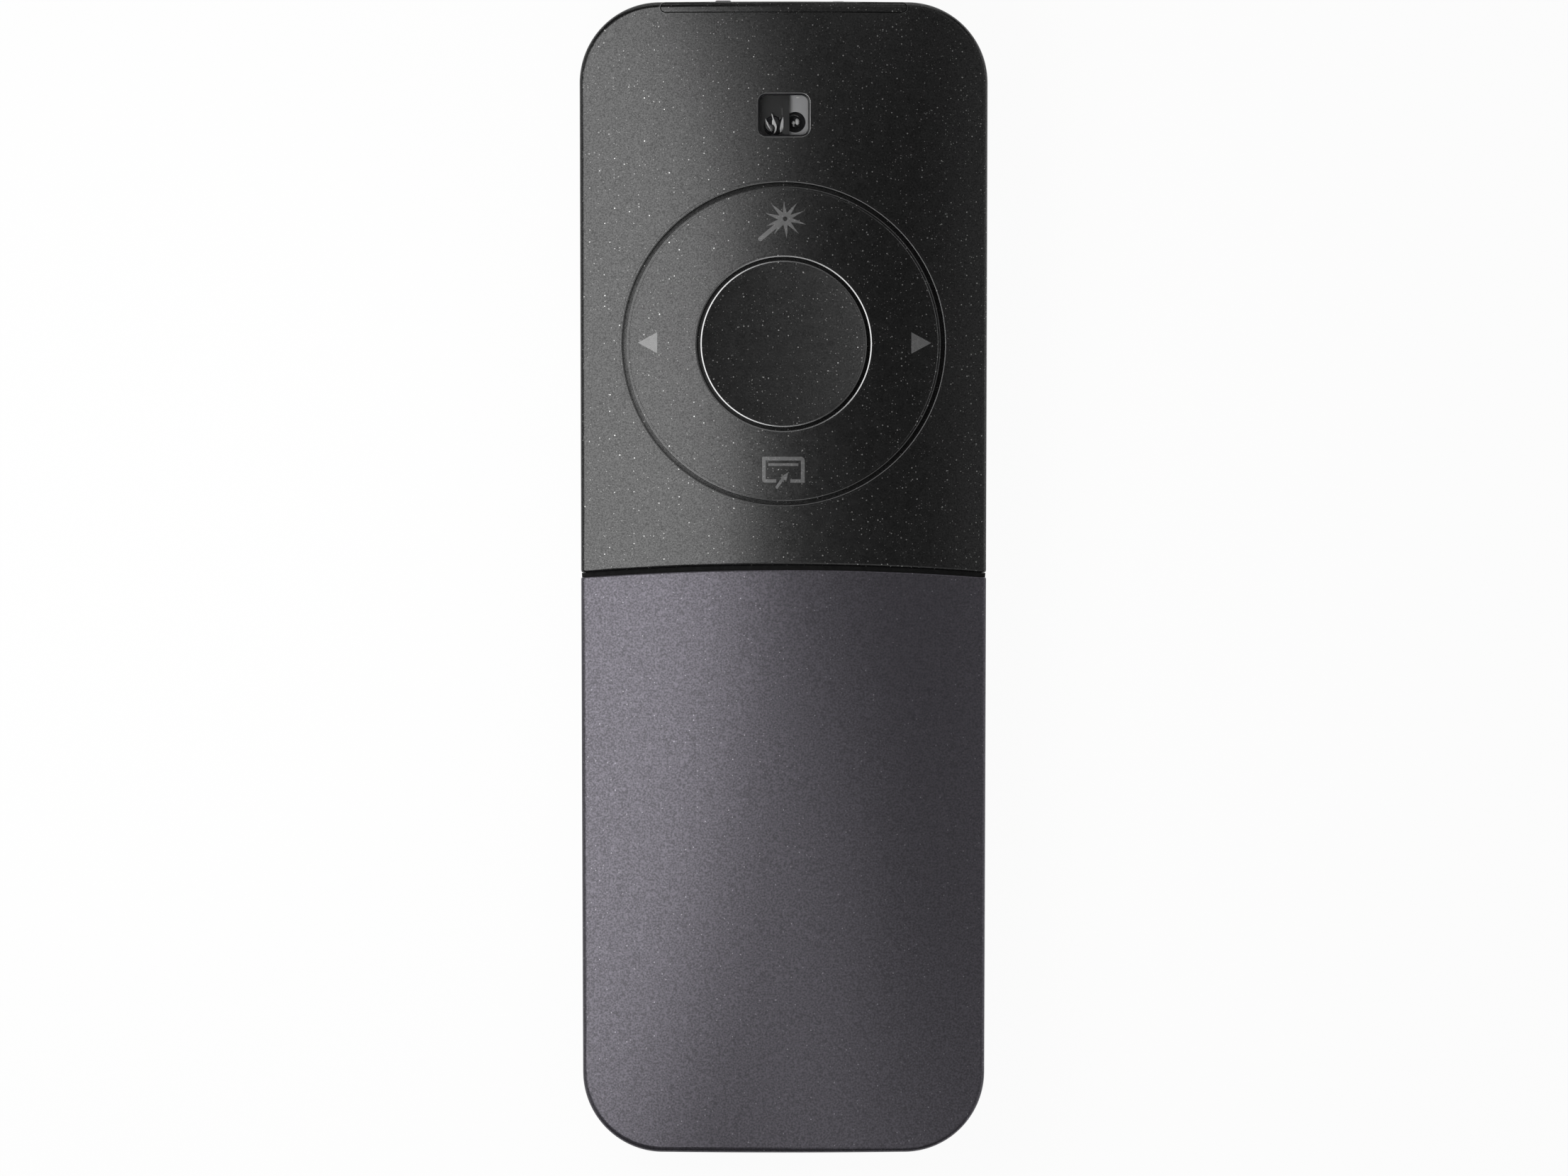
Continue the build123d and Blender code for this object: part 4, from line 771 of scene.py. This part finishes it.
def round_bar(half_length, half_width, steps=14):
    """Outline of a bar across the nose with round ends, about the glide's middle."""
    points = []
    for side, start in ((1, -90), (-1, 90)):
        for i in range(steps + 1):
            angle = math.radians(start + 180 * i / steps)
            points.append((side * (half_length - half_width) + half_width * math.cos(angle),
                           GLIDE_Y + half_width * math.sin(angle)))
    return points


def glide_band(name, inner, outer, top, bottom, look):
    """A thin closed band round the glide, between two offsets from its edge and two depths below the face."""
    sections = []
    for grow, drop in ((inner, bottom), (inner, top), (outer, top), (outer, bottom)):
        sections.append([(x, y, face_level(x, y) - drop)
                         for x, y in round_bar(GLIDE_HALF_LENGTH + grow, GLIDE_HALF_WIDTH + grow)])
    lofted(name, sections, look, "case", closed=True, smooth=False)


# painted shade: a near-black band at the bottom of the glide's groove, where the groove lies in shade
glide_band("glide_groove_shade", 0.005, 0.085, 0.16, 0.5, GASKET_AND_SHADE)
# painted highlight: a paler band on the groove's outer edge
glide_band("glide_edge_highlight", 0.092, 0.135, -0.006, 0.05, GLIDE_HIGHLIGHT)


# ------------------------------------------------------------------ gasket in the seam, partly painted shade
GASKET_WIDTH = 0.44             # millimetres
GASKET_REACH = 19.85            # half its length, measured across the case
GASKET_FOOT = 6.0               # height of its lower edge
GASKET_DROP = 0.9               # its upper edge below the face
GASKET_STEPS = 60


def seam_gasket():
    """A black strip on the chassis between the two halves of the case: a real inner strip, whose near-black
    colour is also painted shade deep in the seam.
    """
    middle = SEAM_Y - SEAM_RADIUS
    sections = []
    for i in range(GASKET_STEPS + 1):
        x = -GASKET_REACH + 2 * GASKET_REACH * i / GASKET_STEPS
        angle = math.asin(x / SEAM_RADIUS)
        rear, front = [((SEAM_RADIUS + across * GASKET_WIDTH / 2) * math.sin(angle),
                        middle + (SEAM_RADIUS + across * GASKET_WIDTH / 2) * math.cos(angle))
                       for across in (-1, 1)]
        tops = [FACE_HEIGHT - side[0] ** 2 / (2 * FACE_CROWN) - GASKET_DROP for side in (rear, front)]
        sections.append([(*rear, GASKET_FOOT), (*front, GASKET_FOOT), (*front, tops[1]), (*rear, tops[0])])
    lofted("seam_gasket", sections, GASKET_AND_SHADE, "case", smooth=False)


seam_gasket()


# ------------------------------------------------------------------ stage, lights and camera
FLOOR_GLOW = 0.95               # share of plain white in the floor, where it is seen straight or mirrored
LIGHT_HEIGHT = 112              # millimetres


def stage():
    """A white floor that keeps the part's shadow."""
    bpy.ops.mesh.primitive_plane_add(size=4.0, location=(0, 0, 0))
    floor = bpy.context.object
    floor.name = "floor"
    made = bpy.data.materials.new("floor")
    made.use_nodes = True
    tree = made.node_tree
    tree.nodes.clear()
    out = node(tree, "ShaderNodeOutputMaterial")
    plain = node(tree, "ShaderNodeBsdfDiffuse", Color=grey(0.85))
    glow = node(tree, "ShaderNodeEmission", Color=grey(1.0))
    path = node(tree, "ShaderNodeLightPath")
    mix = node(tree, "ShaderNodeMixShader")
    seen = math_node(tree, "MAXIMUM", path.outputs["Is Camera Ray"], path.outputs["Is Glossy Ray"])
    seen = math_node(tree, "MAXIMUM", seen, path.outputs["Is Transmission Ray"])
    tree.links.new(math_node(tree, "MULTIPLY", seen, FLOOR_GLOW), mix.inputs[0])
    tree.links.new(plain.outputs[0], mix.inputs[1])
    tree.links.new(glow.outputs[0], mix.inputs[2])
    tree.links.new(mix.outputs[0], out.inputs[0])
    floor.data.materials.append(made)


def panel_light(name, outline, middle, width, length, radiance, turn=(0, 0, 0)):
    """A soft panel of even radiance that can't be seen itself: sizes in millimetres, turns in degrees."""
    lamp = bpy.data.lights.new(name, "AREA")
    lamp.shape = outline
    lamp.size = width * MM
    lamp.size_y = length * MM
    filled = math.pi / 4 if outline == "ELLIPSE" else 1.0
    lamp.energy = radiance * math.pi * lamp.size * lamp.size_y * filled
    item = bpy.data.objects.new(name, lamp)
    item.location = [value * MM for value in middle]
    item.rotation_euler = [math.radians(value) for value in turn]
    item.visible_camera = False
    bpy.context.scene.collection.objects.link(item)


def top_light(name, x0, x1, y0, y1, radiance):
    """An oval panel over a stretch of the floor."""
    panel_light(name, "ELLIPSE", ((x0 + x1) / 2, (y0 + y1) / 2, LIGHT_HEIGHT), x1 - x0, y1 - y0, radiance)


def wall_light(name, middle, heading, width, height, radiance):
    """An upright panel beside the part."""
    panel_light(name, "RECTANGLE", middle, width, height, radiance, (-90, 0, heading))


def world(level):
    """An even grey sky."""
    sky = bpy.data.worlds.new("world")
    bpy.context.scene.world = sky
    sky.use_nodes = True
    background = sky.node_tree.nodes["Background"]
    background.inputs["Color"].default_value = grey(1.0)
    background.inputs["Strength"].default_value = level


stage()
world(0.06)
top_light("key", -130, -10, -62, 72, 3.6)
top_light("upper", -28, -2, 20, 54, 1.0)
top_light("middle", -9, 22, -86, -8, 1.1)
top_light("tail", 4, 64, -130, -42, 0.7)
top_light("nose", -4, 46, 48, 140, 0.42)
wall_light("beyond", (0, 300, 130), 0, 360, 230, 0.9)
wall_light("left", (-300, 0, 110), 90, 360, 180, 0.5)
wall_light("right", (300, 0, 110), -90, 360, 180, 0.8)
top_light("fill", 46, 130, -150, 150, 0.38)

half_view = PHOTO_WIDTH / 2 / PIXELS_PER_MM * MM
view = bpy.data.cameras.new("camera")
view.lens = view.sensor_width / 2 / (half_view / (CAMERA_HEIGHT - BRIM))
view.clip_start = 0.01
camera = bpy.data.objects.new("camera", view)
camera.location = ((PHOTO_WIDTH / 2 - CENTRE_PIXEL[0]) / PIXELS_PER_MM * MM,
                   -(PHOTO_HEIGHT / 2 - CENTRE_PIXEL[1]) / PIXELS_PER_MM * MM, CAMERA_HEIGHT)
bpy.context.scene.collection.objects.link(camera)
bpy.context.scene.camera = camera
bpy.context.scene.view_settings.view_transform = "Standard"
